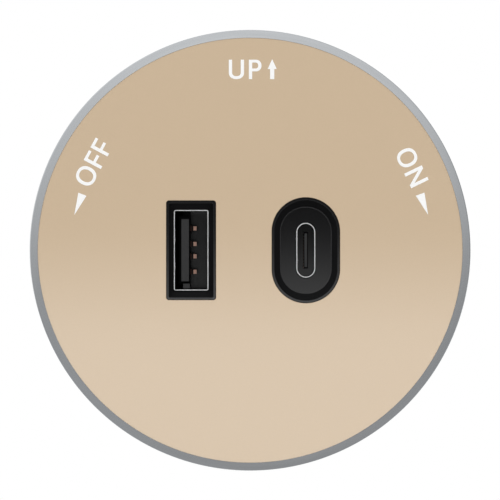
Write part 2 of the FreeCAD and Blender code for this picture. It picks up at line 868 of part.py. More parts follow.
def usb_c_frame():
    frame = port_surround("usb_c_frame", "frame_c_x", "frame_c_width", "frame_c_height", None)
    frame.cut("sloped_wall", "y", "front", "floor_c",
              stadium("frame_c_x", "0", "open_c_width", "open_c_height"),
              taper="-atan(floor_c_inset / frame_c_depth)")
    frame.cut("receptacle_hole", "y", "floor_c", "flange_back",
              stadium("frame_c_x", "0", "usb_c_width + 2 * seam_gap", "usb_c_height + 2 * seam_gap"))
    frame.dress("Chamfer", "rim_bevel", "frame_rim_bevel", at_depth("front"))


def usb_a_shell():
    shell = Piece("usb_a_shell")
    shell.pad("tube", "y", "shell_a_front", "board_front",
              rounded("frame_a_x", "0", "usb_a_width", "usb_a_height", "usb_a_corner"),
              rounded("frame_a_x", "0", "usb_a_width - 2 * usb_a_wall",
                      "usb_a_height - 2 * usb_a_wall", "usb_a_corner - usb_a_wall"))
    near_end = "shell_a_front + window_back"
    far_end = "%s + window_long" % near_end
    for name, low, high in (("lower_window", "-usb_a_height / 4", "-usb_a_height / 4 + window_wide"),
                            ("upper_window", "usb_a_height / 4 - window_wide", "usb_a_height / 4")):
        shell.cut(name, "x", "frame_a_x - usb_a_width / 2", "frame_a_x + usb_a_width / 2",
                  box(near_end, low, far_end, high))
    for name, side in (("left_legs", "-"), ("right_legs", "+")):
        middle = "frame_a_x %s (usb_a_width - usb_a_wall) / 2" % side
        shell.pad(name, "y", "board_front", "pin_end",
                  *leg_pair(middle, "usb_a_wall", "usb_a_height / 4"))


def leg_pair(across, wide, up, gap="0"):
    """The section of two legs, one above and one below the middle, or of their slots."""
    left = "%s - (%s) / 2" % (across, wide)
    right = "%s + (%s) / 2" % (across, wide)
    half = "(leg_wide / 2 + %s)" % gap
    upper = box(left, "%s - %s" % (up, half), right, "%s + %s" % (up, half))
    lower = box(left, "-(%s) - %s" % (up, half), right, "-(%s) + %s" % (up, half))
    return upper, lower


def usb_a_insulator():
    insulator = Piece("usb_a_insulator")
    insulator.pad("base", "y", "base_a_front", "board_front",
                  rounded("frame_a_x", "0", "inner_a_width", "inner_a_height", "base_corner"))
    insulator.pad("tongue", "y", "tongue_a_front", "base_a_front",
                  box("frame_a_x + tongue_a_left", "-tongue_a_height / 2",
                      "tongue_face", "tongue_a_height / 2"))
    insulator.dress("Chamfer", "tongue_bevel", "tongue_a_bevel", at_depth("tongue_a_front"))
    for up in contact_a_levels():
        insulator.cut("contact_slot", "y", "base_a_front", "board_front",
                      box("tongue_face", "%s - contact_a_wide / 2 - base_gap" % up,
                          "tongue_face + contact_a_thick + base_gap",
                          "%s + contact_a_wide / 2 + base_gap" % up))


def contact_a_levels():
    return "-contact_a_outer", "-contact_a_inner", "contact_a_inner", "contact_a_outer"


def usb_a_contacts():
    """Four bent strips that lie on the tongue and bow out near its front end."""
    contacts = Piece("usb_a_contacts")
    tip = "tongue_a_front + contact_a_tip"
    crest = "tongue_a_front + contact_a_crest"
    heel = "tongue_a_front + contact_a_heel"
    face = "tongue_face"
    for up in contact_a_levels():
        contacts.pad("contact", "z", "%s - contact_a_wide / 2" % up, "%s + contact_a_wide / 2" % up,
                     outline((face, tip),
                             (face + " + contact_a_thick", tip),
                             (face + " + contact_a_rise", crest + " - contact_a_crown"),
                             (face + " + contact_a_rise", crest + " + contact_a_crown"),
                             (face + " + contact_a_thick", heel),
                             (face + " + contact_a_thick", "pin_end"),
                             (face, "pin_end"),
                             (face, heel + " - contact_a_thick"),
                             (face + " + contact_a_rise - contact_a_thick", crest),
                             (face, tip + " + contact_a_thick")))


def usb_c_shell():
    shell = Piece("usb_c_shell")
    shell.pad("tube", "y", "shell_c_front", "shell_c_rear",
              stadium("frame_c_x", "0", "usb_c_width", "usb_c_height"),
              stadium("frame_c_x", "0", "usb_c_width - 2 * usb_c_wall", "usb_c_height - 2 * usb_c_wall"))
    for name, side in (("left_legs", "-"), ("right_legs", "+")):
        middle = "frame_c_x %s (usb_c_width - usb_c_wall) / 2" % side
        shell.pad(name, "y", "shell_c_rear", "pin_end",
                  *leg_pair(middle, "usb_c_wall", "usb_c_height / 4"))


def usb_c_insulator():
    insulator = Piece("usb_c_insulator")
    insulator.pad("base", "y", "base_c_front", "shell_c_rear",
                  stadium("frame_c_x", "0", "inner_c_width", "inner_c_height"))
    insulator.pad("foot", "y", "shell_c_rear", "board_front",
                  rounded("frame_c_x", "0", "inner_c_width", "inner_c_height", "base_corner"))
    insulator.pad("tongue", "y", "tongue_c_front", "base_c_front",
                  box("frame_c_x - tongue_c_wide / 2", "-tongue_c_height / 2",
                      "frame_c_x + tongue_c_wide / 2", "tongue_c_height / 2"))
    insulator.dress("Chamfer", "tongue_bevel", "tongue_c_bevel", at_depth("tongue_c_front"))


def usb_c_contacts():
    """Two rows of thin strips, one on each face of the tongue."""
    contacts = Piece("usb_c_contacts")
    first = "-(contact_c_count - 1) * contact_c_pitch / 2"
    for name, left in (("left_strip", "frame_c_x - tongue_c_wide / 2 - contact_c_thick"),
                       ("right_strip", "frame_c_x + tongue_c_wide / 2")):
        strip = contacts.pad(name, "y", "tongue_c_front + contact_c_tip", "base_c_front",
                             box(left, first + " - contact_c_wide / 2",
                                 left + " + contact_c_thick", first + " + contact_c_wide / 2"))
        contacts.row(name + "s", [strip], "Z", "contact_c_count", "contact_c_pitch")


# The three bulk capacitors stand in a triangle, and the two output ones in a column
BULK_PLACES = [("bulk_x", "bulk_z"), ("bulk_x + bulk_pitch", "bulk_z"),
               ("bulk_x + bulk_pitch / 2", "bulk_z - bulk_pitch * sqrt(3) / 2")]
OUTPUT_PLACES = [("output_x", "output_z"), ("output_x", "output_z + output_pitch")]


def pin_places():
    """Where the pins of the parts go through the board."""
    places = []
    for across, up in BULK_PLACES:
        places += pin_pair(across, up, "bulk_pin")
    for across, up in OUTPUT_PLACES:
        places += pin_pair(across, up, "output_pin")
    places += transformer_pins()
    places += x_cap_pins()
    places += pin_pair("y_cap_x", "y_cap_z", "y_cap_pin")
    places += pin_pair("fuse_x", "fuse_z", "fuse_pin")
    places += choke_pins()
    places += pin_pair("inductor_x", "inductor_z", "inductor_pin")
    return places


def pin_pair(across, up, offset):
    return [("%s - %s" % (across, offset), up), ("%s + %s" % (across, offset), up)]


def transformer_pins():
    """Two rows of three pins under the feet of the bobbin."""
    places = []
    for side in ("-", "+"):
        up = "transformer_z %s transformer_pin_z" % side
        places += [("-transformer_pin_x", up), ("0", up), ("transformer_pin_x", up)]
    return places


def x_cap_pins():
    return [("x_cap_x", "x_cap_z - x_cap_pin"), ("x_cap_x", "x_cap_z + x_cap_pin")]


def choke_pins():
    """Two pins under each winding, near its ends."""
    radius = "(choke_outer + choke_wire / 2)"
    along = "%s * cos(choke_pin_angle)" % radius
    rise = "%s * sin(choke_pin_angle)" % radius
    places = []
    for side in ("-", "+"):
        for level in ("-", "+"):
            places.append(("choke_x %s %s" % (side, along), "choke_z %s %s" % (level, rise)))
    return places


def square_about(place, half):
    across, up = place
    return box("%s - (%s)" % (across, half), "%s - (%s)" % (up, half),
               "%s + (%s)" % (across, half), "%s + (%s)" % (up, half))


def pins(piece, places, top):
    """Adds square pins from a level of the part through the board."""
    piece.pad("pins", "y", top, "pin_end", *[square_about(place, "pin_half") for place in places])


def main_board():
    board = Piece("main_board")
    board.pad("sheet", "y", "board_front", "board_back", disc("0", "0", "board_radius"))
    hole = board.cut("boss_hole", "y", "board_front", "board_back",
                     disc("boss_x", "boss_z", "boss_radius + board_hole_gap"))
    board.repeat("boss_holes", [hole], "boss_count")
    hole = board.cut("screw_hole", "y", "board_front", "board_back",
                     disc("post_circle", "0", "board_screw_shank + board_hole_gap"))
    board.repeat("screw_holes", [hole], "post_count")
    board.cut("pin_holes", "y", "board_front", "board_back",
              *[square_about(place, "pin_half + pin_gap") for place in pin_places()])
    slots = []
    for port, wall in (("a", "usb_a"), ("c", "usb_c")):
        for side in ("-", "+"):
            middle = "frame_%s_x %s (%s_width - %s_wall) / 2" % (port, side, wall, wall)
            slots += leg_pair(middle, wall + "_wall + 2 * pin_gap", wall + "_height / 4", "pin_gap")
    for up in contact_a_levels():
        slots.append(box("tongue_face - pin_gap", "%s - contact_a_wide / 2 - pin_gap" % up,
                         "tongue_face + contact_a_thick + pin_gap",
                         "%s + contact_a_wide / 2 + pin_gap" % up))
    board.cut("port_slots", "y", "board_front", "board_back", *slots)


def transformer_core():
    core = Piece("transformer_core")
    half = "core_wide / 2"
    window_front = "core_front + core_plate"
    window_rear = "core_rear - core_plate"
    core.pad("frame", "z", "transformer_z - core_deep / 2", "transformer_z + core_deep / 2",
             box("-" + half, "core_front", half, "core_rear"),
             box("-%s + core_leg" % half, window_front, "-core_middle / 2", window_rear),
             box("core_middle / 2", window_front, "%s - core_leg" % half, window_rear))


def transformer_bobbin():
    bobbin = Piece("transformer_bobbin")
    hole = rounded("0", "transformer_z", "shaft_wide", "shaft_deep", "bobbin_hole_corner")
    cheek = rounded("0", "transformer_z", "spool_wide", "bobbin_deep", "bobbin_cheek_corner")
    shaft = bobbin_shaft()
    bobbin.pad("front_cheek", "y", "spool_front", "spool_front + bobbin_wall", cheek, hole)
    bobbin.pad("shaft", "y", "spool_front + bobbin_wall", "spool_rear - bobbin_wall", shaft, hole)
    bobbin.pad("rear_cheek", "y", "spool_rear - bobbin_wall", "spool_rear", cheek, hole)
    for name, side in (("upper_foot", "+"), ("lower_foot", "-")):
        near_edge = "transformer_z %s (shaft_deep / 2 + fit_gap)" % side
        far_edge = "transformer_z %s bobbin_deep / 2" % side
        bobbin.pad(name, "y", "spool_rear", "board_front",
                   box("-spool_wide / 2", near_edge, "spool_wide / 2", far_edge))
    pins(bobbin, transformer_pins(), "board_front")


def bobbin_shaft():
    return rounded("0", "transformer_z", "shaft_wide + 2 * bobbin_wall",
                   "shaft_deep + 2 * bobbin_wall", "bobbin_shaft_corner")


def transformer_winding():
    winding = Piece("transformer_winding")
    winding.pad("turns", "y", "spool_front + bobbin_wall", "spool_rear - bobbin_wall",
                rounded("0", "transformer_z", "spool_wide - 2 * winding_inset",
                        "bobbin_deep - 2 * winding_inset", "winding_corner"),
                bobbin_shaft())


def capacitors(label, places, radius, high, pin):
    """Upright round capacitors, each with the crimp of its can near the board."""
    group = Piece(label)
    top = "board_front - %s" % high
    level = "board_front - crimp_level"
    can = [("0", "board_front"), (radius, "board_front"),
           (radius, level + " + crimp_half"),
           (radius + " - crimp_depth", level),
           (radius, level + " - crimp_half"),
           (radius, top), ("0", top)]
    for index, (across, up) in enumerate(places):
        group.turn("can%d" % index, outline(*can), at=(across, up))
        pins(group, pin_pair(across, up, pin), "board_front")


def bulk_capacitors():
    capacitors("bulk_capacitors", BULK_PLACES, "bulk_radius", "bulk_high", "bulk_pin")


def output_capacitors():
    capacitors("output_capacitors", OUTPUT_PLACES, "output_radius", "output_high", "output_pin")


def x_capacitor():
    block = Piece("x_capacitor")
    block.pad("case", "y", "board_front - x_cap_high", "board_front",
              box("x_cap_x - x_cap_wide / 2", "x_cap_z - x_cap_long / 2",
                  "x_cap_x + x_cap_wide / 2", "x_cap_z + x_cap_long / 2"))
    block.dress("Chamfer", "top_bevel", "box_bevel", at_depth("board_front - x_cap_high"))
    pins(block, x_cap_pins(), "board_front")


def y_capacitor():
    block = Piece("y_capacitor")
    block.pad("body", "z", "y_cap_z - y_cap_thick / 2", "y_cap_z + y_cap_thick / 2",
              disc("y_cap_x", "board_front - y_cap_lift - y_cap_radius", "y_cap_radius"))
    block.dress("Chamfer", "bevel", "box_bevel", lambda edge: hasattr(edge.Curve, "Radius"))
    pins(block, pin_pair("y_cap_x", "y_cap_z", "y_cap_pin"),
         "board_front - y_cap_lift - y_cap_radius")


def fuse():
    case = Piece("fuse")
    case.turn("case", outline(
        ("0", "board_front"), ("fuse_radius", "board_front"),
        ("fuse_radius", "board_front - fuse_high + box_bevel"),
        ("fuse_radius - box_bevel", "board_front - fuse_high"), ("0", "board_front - fuse_high")),
        at=("fuse_x", "fuse_z"))
    pins(case, pin_pair("fuse_x", "fuse_z", "fuse_pin"), "board_front")


def choke_core():
    core = Piece("choke_core")
    rear = "board_front - choke_wire"
    core.turn("ring", box("choke_inner", rear + " - choke_high", "choke_outer", rear),
              at=("choke_x", "choke_z"))


def choke_windings():
    windings = Piece("choke_windings")
    rear = "board_front - choke_wire"
    for index, middle in enumerate(("0", "180")):
        windings.turn("winding%d" % index,
                      box("choke_inner - choke_wire", rear + " - choke_high - choke_wire",
                          "choke_outer + choke_wire", "board_front"),
                      box("choke_inner", rear + " - choke_high", "choke_outer", rear),
                      at=("choke_x", "choke_z"), angle="choke_angle", middle=middle)
    pins(windings, choke_pins(), "board_front")


def inductor_core():
    core = Piece("inductor_core")
    front = "board_front - inductor_high"
    core.turn("drum", outline(
        ("0", "board_front"), ("inductor_radius", "board_front"),
        ("inductor_radius", "board_front - inductor_flange"),
        ("inductor_neck", "board_front - inductor_flange"),
        ("inductor_neck", front + " + inductor_flange"),
        ("inductor_radius", front + " + inductor_flange"),
        ("inductor_radius", front), ("0", front)),
        at=("inductor_x", "inductor_z"))
    pins(core, pin_pair("inductor_x", "inductor_z", "inductor_pin"), "board_front")


def inductor_winding():
    winding = Piece("inductor_winding")
    front = "board_front - inductor_high"
    winding.turn("turns", box("inductor_neck", front + " + inductor_flange",
                              "inductor_radius - winding_inset", "board_front - inductor_flange"),
                 at=("inductor_x", "inductor_z"))


def chip(label, across, up, case):
    """A chip on the back of the board, with a row of feet along two sides."""
    body = Piece(label)
    wide = case + "_wide"
    feet = case + "_feet"
    top = "board_back + %s_high" % case
    body.pad("case", "y", "board_back", top,
             box("%s - %s / 2" % (across, wide), "%s - %s_long / 2" % (up, case),
                 "%s + %s / 2" % (across, wide), "%s + %s_long / 2" % (up, case)))
    body.dress("Chamfer", "bevel", "chip_bevel", at_depth(top))
    first = "%s - (%s - 1) * chip_pitch / 2" % (up, feet)
    for name, side in (("left", "-"), ("right", "+")):
        near_edge = "%s %s (%s / 2)" % (across, side, wide)
        far_edge = "%s %s chip_foot_reach" % (near_edge, side)
        foot = body.pad(name + "_foot", "y", "board_back", "board_back + chip_foot",
                        box(near_edge, first + " - chip_foot_wide / 2",
                            far_edge, first + " + chip_foot_wide / 2"))
        body.row(name + "_feet", [foot], "Z", feet, "chip_pitch")


def bridge_rectifier():
    chip("bridge_rectifier", "bridge_x", "bridge_z", "bridge")


def primary_controller():
    chip("primary_controller", "0", "transformer_z", "small_chip")


def sync_rectifier():
    chip("sync_rectifier", "rectifier_x", "rectifier_z", "small_chip")


def protocol_chip():
    chip("protocol_chip", "protocol_x", "protocol_z", "protocol")


def board_screws():
    screws = Piece("board_screws")
    first = screw(screws, ("post_circle", "0"), "board_back", "board_screw_shank",
                  "board_screw_long", "board_screw_head", "board_screw_head_high", "front")
    screws.repeat("screws", [first], "post_count")


def rear_cover():
    cover = Piece("rear_cover")
    cover.turn("disc", outline(
        ("0", "socket_front"), ("socket_wall_radius", "socket_front"),
        ("socket_wall_radius", "hub_inner"), ("hub_radius", "hub_inner"),
        ("hub_radius", "cover_inner"), ("cover_radius", "cover_inner"),
        ("cover_radius", "-cover_edge"), ("cover_radius - cover_edge", "0"),
        ("recess_radius", "0"), ("recess_radius", "recess_floor"), ("0", "recess_floor")))
    cover.cut("neck_socket", "y", "neck_front", "recess_floor",
              flatted("neck_radius + socket_play", "neck_flat + socket_play", upright=True))
    cover.cut("wire_hole", "y", "socket_front", "neck_front", disc("0", "0", "wire_bore"))
    cover.cut("stem_screw_holes", "y", "socket_front", "neck_front",
              *[disc("0", side + "stem_screw_offset", "stem_screw_shank + head_gap")
                for side in ("", "-")])
    hole = cover.cut("screw_hole", "y", "cover_inner", "-cover_screw_sink",
                     disc("boss_x", "boss_z", "cover_screw_shank + head_gap"))
    cover.repeat("screw_holes", [hole], "boss_count")
    hole = cover.cut("screw_sink", "y", "-cover_screw_sink", "0",
                     disc("boss_x", "boss_z", "cover_screw_head + head_gap"))
    cover.repeat("screw_sinks", [hole], "boss_count")
    cover.groove("stop_groove", box("stop_circle - stop_wide / 2 - stop_gap", "groove_floor",
                                    "stop_circle + stop_wide / 2 + stop_gap", "recess_floor"),
                 angle="turn_angle + stop_angle + 2 * stop_gap_angle",
                 middle="stop_place + turn_angle / 2")
    cover.cut("spring_pocket", "y", "recess_floor", "0",
              box("-spring_room", "spring_room_low", "spring_room",
                  "leaf_end + spring_leaf + fit_gap"))


def cover_screws():
    screws = Piece("cover_screws")
    seat = "-cover_screw_sink"
    top = seat + " + cover_screw_head_high"
    first = screw(screws, ("boss_x", "boss_z"), seat, "cover_screw_shank", "cover_screw_long",
                  "cover_screw_head", "cover_screw_head_high", "front")
    screws.repeat("screws", [first], "boss_count")
    bars = cross_recess(screws, "boss_x", "boss_z", top)
    screws.repeat("recesses", bars, "boss_count")


def cross_recess(piece, across, up, top):
    """Cuts a cross for the driver into a screw head whose top faces the rear."""
    low = top + " - recess_deep"
    bars = []
    for name, wide, high in (("recess_flat", "recess_reach", "recess_arm"),
                             ("recess_upright", "recess_arm", "recess_reach")):
        bars.append(piece.cut(name, "y", low, top,
                              box("%s - %s" % (across, wide), "%s - %s" % (up, high),
                                  "%s + %s" % (across, wide), "%s + %s" % (up, high))))
    return bars


def guide_shoe():
    shoe = Piece("guide_shoe")
    bore = "neck_radius + neck_play"
    shoe.turn("disc", box(bore, "shoe_front", "shoe_radius", "shoe_rear"))
    shoe.pad("key", "y", "shoe_rear", "key_rear",
             flatted("key_length / 2", "key_width / 2"), disc("0", "0", bore))
    rim = circle_at("key_rear", bore)
    face = at_depth("key_rear")
    shoe.dress("Chamfer", "key_edge", "key_edge", lambda edge: face(edge) and not rim(edge))
    shoe.turn("stop_lug", box("stop_circle - stop_wide / 2", "shoe_front - stop_high",
                              "stop_circle + stop_wide / 2", "shoe_front"),
              angle="stop_angle", middle="stop_place")
    low = "shoe_radius - notch_deep"
    high = "shoe_radius + cut_over"
    wide = "notch_half * (cut_over + notch_deep) / notch_deep"
    shoe.cut("off_notch", "y", "shoe_front", "shoe_rear",
             outline(("-(%s)" % wide, high), ("0", low), (wide, high)))
    shoe.cut("on_notch", "y", "shoe_front", "shoe_rear",
             outline((high, "-(%s)" % wide), (high, wide), (low, "0")))


def detent_spring():
    """A leaf whose nose rests in a notch of the guide shoe."""
    leaf = Piece("detent_spring")
    inner = [("-spring_half", "leaf_end"), ("-spring_flat", "leaf_shoulder"),
             ("-spring_tip", "nose_tip"), ("spring_tip", "nose_tip"),
             ("spring_flat", "leaf_shoulder"), ("spring_half", "leaf_end")]
    outer = [(across, "%s + spring_leaf" % up) for across, up in reversed(inner)]
    leaf.pad("leaf", "y", "spring_front", "spring_front + spring_high", outline(*inner, *outer))


def plug_head():
    head = Piece("plug_head")
    head.pad("keyed_end", "y", "neck_front", "recess_floor",
             flatted("neck_radius", "neck_flat", upright=True))
    head.pad("neck", "y", "recess_floor", "head_front", disc("0", "0", "neck_radius"))
    head.pad("head", "y", "head_front", "cap_front", flatted("head_radius", "head_half"))
    head.dress("Fillet", "corners", "head_round", head_corner)
    head.cut("wire_bore", "y", "neck_front", "earth_seat - earth_ledge", disc("0", "0", "wire_bore"))
    head.cut("earth_ledge_hole", "y", "earth_seat - earth_ledge", "earth_seat",
             disc("0", "-lead_offset", "lead_radius + earth_ledge_gap"))
    head.cut("earth_bore", "y", "earth_seat", "cap_front", disc("0", "0", "earth_bore"))
    head.cut("stem_screw_holes", "y", "neck_front", "socket_front + stem_screw_long + hole_spare",
             *[disc("0", side + "stem_screw_offset", "stem_screw_shank + screw_gap")
               for side in ("", "-")])
    head.cut("cap_screw_holes", "y", "cap_rear - cap_screw_long - hole_spare", "cap_front",
             *[disc("0", side + "cap_screw_offset", "cap_screw_shank + screw_gap")
               for side in ("", "-")])
    cuts = [
        head.cut("contact_pocket", "y", "pocket_bottom", "cap_front",
                 box("pocket_in", "-pocket_half", "pocket_out", "pocket_half")),
        head.cut("contact_window", "y", "pocket_bottom", "cap_front",
                 box("pocket_out", "-window_half", "head_radius + cut_over", "window_half")),
        head.cut("wire_channel", "y", "channel_rear - channel_high", "channel_rear",
                 box("0", "-channel_half", "channel_out", "channel_half")),
        head.cut("tail_slot", "y", "channel_rear", "pocket_bottom",
                 box("pocket_in", "-channel_half", "channel_out", "channel_half")),
    ]
    head.mirror("neutral_side", cuts, "YZ_Plane")


def head_corner(edge):
    """Chooses the four upright corners where the head's flats meet its round ends."""
    return along_depth(edge) and abs(edge.BoundBox.XMin) > number("neck_radius")


def plug_cap():
    cap = Piece("plug_cap")
    cap.pad("sheet", "y", "cap_front", "cap_rear", flatted("head_radius", "head_half"))
    cap.dress("Fillet", "corners", "head_round", head_corner)
    cap.dress("Chamfer", "edge", "cap_edge", at_depth("cap_rear"))
    cap.cut("earth_hole", "y", "cap_front", "cap_rear", disc("0", "0", "earth_nose + earth_play"))
    for name, side in (("upper_screw_hole", ""), ("lower_screw_hole", "-")):
        shank = "cap_screw_shank + screw_gap"
        sink = "cap_screw_head - cap_screw_shank"
        cap.groove(name, outline(
            ("0", "cap_front"), (shank, "cap_front"), (shank, "cap_rear - (%s)" % sink),
            ("cap_screw_head + screw_gap", "cap_rear"), ("0", "cap_rear")),
            at=("0", side + "cap_screw_offset"))


def cap_screws():
    screws = Piece("cap_screws")
    tip = "cap_rear - cap_screw_long"
    for name, side in (("upper", ""), ("lower", "-")):
        offset = side + "cap_screw_offset"
        screws.turn(name, outline(
            ("0", tip), ("cap_screw_shank", tip),
            ("cap_screw_shank", "cap_rear - (cap_screw_head - cap_screw_shank)"),
            ("cap_screw_head", "cap_rear"), ("0", "cap_rear")), at=("0", offset))
        low = "cap_rear - recess_deep"
        screws.cut(name + "_slot", "y", low, "cap_rear",
                   box("-cap_screw_shank", offset + " - recess_arm / 2",
                       "cap_screw_shank", offset + " + recess_arm / 2"))


def stem_screws():
    screws = Piece("stem_screws")
    for side in ("", "-"):
        screw(screws, ("0", side + "stem_screw_offset"), "socket_front", "stem_screw_shank",
              "stem_screw_long", "stem_screw_head", "stem_screw_head_high", "rear")


def sided(sign, near_side, far_side):
    """A span along X on the live side, or its mirror on the neutral side."""
    if sign > 0:
        return near_side, far_side
    return "-(%s)" % far_side, "-(%s)" % near_side


def side_contact(label, sign):
    """A sprung contact that looks out of a window at the end of the plug head."""
    contact = Piece(label)
    left, right = sided(sign, "flange_in", "flange_out")
    contact.pad("flange", "x", left, right, box("nose_low", "-flange_half", "nose_high", "flange_half"))
    half = "(window_half - window_gap)"
    left, right = sided(sign, "flange_out", "nose_out")
    contact.pad("nose", "x", left, right, box("nose_low", "-" + half, "nose_high", half))
    tip = sign * number("nose_out")

    def at_tip(edge):
        return near(edge.BoundBox.XMin, tip) and near(edge.BoundBox.XMax, tip)
    contact.dress("Fillet", "nose_round", "nose_round", at_tip)


def side_terminal(label, sign):
    """A plate behind the spring with a tail that its lead is welded to."""
    terminal = Piece(label)
    left, right = sided(sign, "plate_in", "plate_out")
    low = "pocket_bottom - tail_drop"
    shoulder = "pocket_bottom + fit_gap"
    terminal.pad("plate", "x", left, right, outline(
        (low, "-tail_half"), (shoulder, "-tail_half"), (shoulder, "-terminal_half"),
        ("nose_high", "-terminal_half"), ("nose_high", "terminal_half"),
        (shoulder, "terminal_half"), (shoulder, "tail_half"), (low, "tail_half")))


def live_contact():
    side_contact("live_contact", 1)


def neutral_contact():
    side_contact("neutral_contact", -1)


def live_terminal():
    side_terminal("live_terminal", 1)


def neutral_terminal():
    side_terminal("neutral_terminal", -1)


def earth_contact():
    pin = Piece("earth_contact")
    pin.turn("pin", outline(
        ("0", "earth_flange_front"), ("earth_flange", "earth_flange_front"),
        ("earth_flange", "earth_flange_rear"), ("earth_nose", "earth_flange_rear"),
        ("earth_nose", "earth_tip"), ("0", "earth_tip")))
    pin.dress("Fillet", "tip_round", "earth_round", circle_at("earth_tip", "earth_nose"))


def earth_terminal():
    terminal = Piece("earth_terminal")
    terminal.turn("disc", box("0", "earth_seat", "earth_bore - earth_play", "earth_disc_rear"))


def leaf_spring(label, length, middle, half, place):
    """A strip bent to and fro between two seats, from a flat foot to a flat crown."""
    spring = Piece(label)
    low = "%s - %s" % (middle, half)
    high = "%s + %s" % (middle, half)
    rise = "(%s - leaf_wall) / leaf_legs" % length

    def strip(name, low_level, high_level):
        corners = ((low, low_level), (high, high_level),
                   (high, high_level + " + leaf_wall"), (low, low_level + " + leaf_wall"))
        spring.pad(name, "z", "-leaf_wide / 2", "leaf_wide / 2",
                   outline(*[place(across, along) for across, along in corners]))

    strip("foot", "0", "0")
    legs = int(number("leaf_legs"))
    for index in range(legs):
        ends = ["%d * %s" % (step, rise) for step in (index, index + 1)]
        if index % 2:
            ends.reverse()
        strip("leg%d" % index, *ends)
    top = "%d * %s" % (legs, rise)
    strip("crown", top, top)


def live_spring():
    leaf_spring("live_spring", "(flange_in - plate_out)", "nose_axis", "side_leaf_half",
                lambda across, along: ("plate_out + " + along, across))


def neutral_spring():
    leaf_spring("neutral_spring", "(flange_in - plate_out)", "nose_axis", "side_leaf_half",
                lambda across, along: ("-(plate_out + %s)" % along, across))


def earth_spring():
    leaf_spring("earth_spring", "(earth_flange_front - earth_disc_rear)", "0", "earth_leaf_half",
                lambda across, along: (across, "earth_disc_rear + " + along))


def side_lead(label, sign):
    """An insulated wire that leaves the terminal's tail and bends once, towards the board."""
    bend = number("lead_bend")
    tail = Vector(sign * number("plate_in"), number("lead_axis"), 0)
    corner = Vector(sign * number("lead_offset"), number("lead_axis"), 0)
    pad = Vector(sign * number("lead_offset"), number("board_back"), 0)
    first = corner + Vector(sign * bend, 0, 0)
    last = corner - Vector(0, bend, 0)
    centre = corner + Vector(sign * bend, -bend, 0)
    crown = centre + (corner - centre).normalize() * bend
    route = Part.Wire([Part.LineSegment(tail, first).toShape(), Part.Arc(first, crown, last).toShape(),
                       Part.LineSegment(last, pad).toShape()])
    rim = Part.makeCircle(number("lead_radius"), tail, first - tail)
    shape_piece(label, route.makePipe(Part.Face(Part.Wire([rim]))))


def live_lead():
    side_lead("live_lead", 1)


def neutral_lead():
    side_lead("neutral_lead", -1)


def earth_lead():
    wire = Piece("earth_lead")
    wire.pad("wire", "y", "board_back", "earth_seat", disc("0", "-lead_offset", "lead_radius"))


BUILDERS = [
    bezel_ring,
    face_plate,
    front_shell,
    usb_a_frame,
    usb_a_shell,
    usb_a_insulator,
    usb_a_contacts,
    usb_c_frame,
    usb_c_shell,
    usb_c_insulator,
    usb_c_contacts,
    main_board,
    transformer_core,
    transformer_bobbin,
    transformer_winding,
    bulk_capacitors,
    output_capacitors,
    x_capacitor,
    y_capacitor,
    fuse,
    choke_core,
    choke_windings,
    inductor_core,
    inductor_winding,
    bridge_rectifier,
    primary_controller,
    sync_rectifier,
    protocol_chip,
    board_screws,
    rear_cover,
    cover_screws,
    guide_shoe,
    detent_spring,
    plug_head,
    plug_cap,
    cap_screws,
    stem_screws,
    live_contact,
    neutral_contact,
    earth_contact,
    live_terminal,
    neutral_terminal,
    earth_terminal,
    live_spring,
    neutral_spring,
    earth_spring,
    live_lead,
    neutral_lead,
    earth_lead,
]

for build in BUILDERS:
    build()

doc.recompute()
for item in doc.Objects:
    if "Invalid" in item.State or "Error" in item.State:
        raise RuntimeError("%s is %s" % (item.Label, item.State))
for label, piece in pieces:
    if piece.Shape.isNull() or not piece.Shape.isValid():
        raise RuntimeError(label + " has no valid shape")

os.makedirs("parts", exist_ok=True)
for label, piece in pieces:
    piece.Shape.exportStep("parts/%s.step" % label)
print("%d parts" % len(pieces))
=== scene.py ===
import json
import math

import bmesh
import bpy
from mathutils import Matrix, Vector
from mathutils.geometry import delaunay_2d_cdt

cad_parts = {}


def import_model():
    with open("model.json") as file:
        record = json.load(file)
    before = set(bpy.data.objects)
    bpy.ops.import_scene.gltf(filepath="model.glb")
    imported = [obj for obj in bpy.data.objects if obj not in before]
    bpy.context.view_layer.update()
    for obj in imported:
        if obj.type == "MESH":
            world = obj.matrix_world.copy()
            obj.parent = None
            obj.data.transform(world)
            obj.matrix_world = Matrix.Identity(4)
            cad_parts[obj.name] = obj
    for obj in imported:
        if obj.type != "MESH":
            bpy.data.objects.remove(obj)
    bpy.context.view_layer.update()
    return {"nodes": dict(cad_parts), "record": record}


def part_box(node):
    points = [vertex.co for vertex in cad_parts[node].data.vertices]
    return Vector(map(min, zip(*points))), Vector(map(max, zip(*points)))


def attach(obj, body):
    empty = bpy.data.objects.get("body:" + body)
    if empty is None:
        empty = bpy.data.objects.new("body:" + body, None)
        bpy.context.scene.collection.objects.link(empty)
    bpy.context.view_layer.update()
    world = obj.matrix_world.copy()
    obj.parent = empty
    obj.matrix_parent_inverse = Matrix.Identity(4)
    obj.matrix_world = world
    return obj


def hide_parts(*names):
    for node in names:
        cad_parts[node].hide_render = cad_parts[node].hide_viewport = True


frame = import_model()
nodes = frame["nodes"]

# A USB charging socket for a power track, seen straight on. X points right, Z up and Y into
# the track. The front of the disc faces -Y. Sizes are in millimetres until a mesh is made.
MM = 0.001

# Sizes read from the frame


def extent(node):
    """The lowest and highest corner of a node in millimetres."""
    low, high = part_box(node)
    return low / MM, high / MM


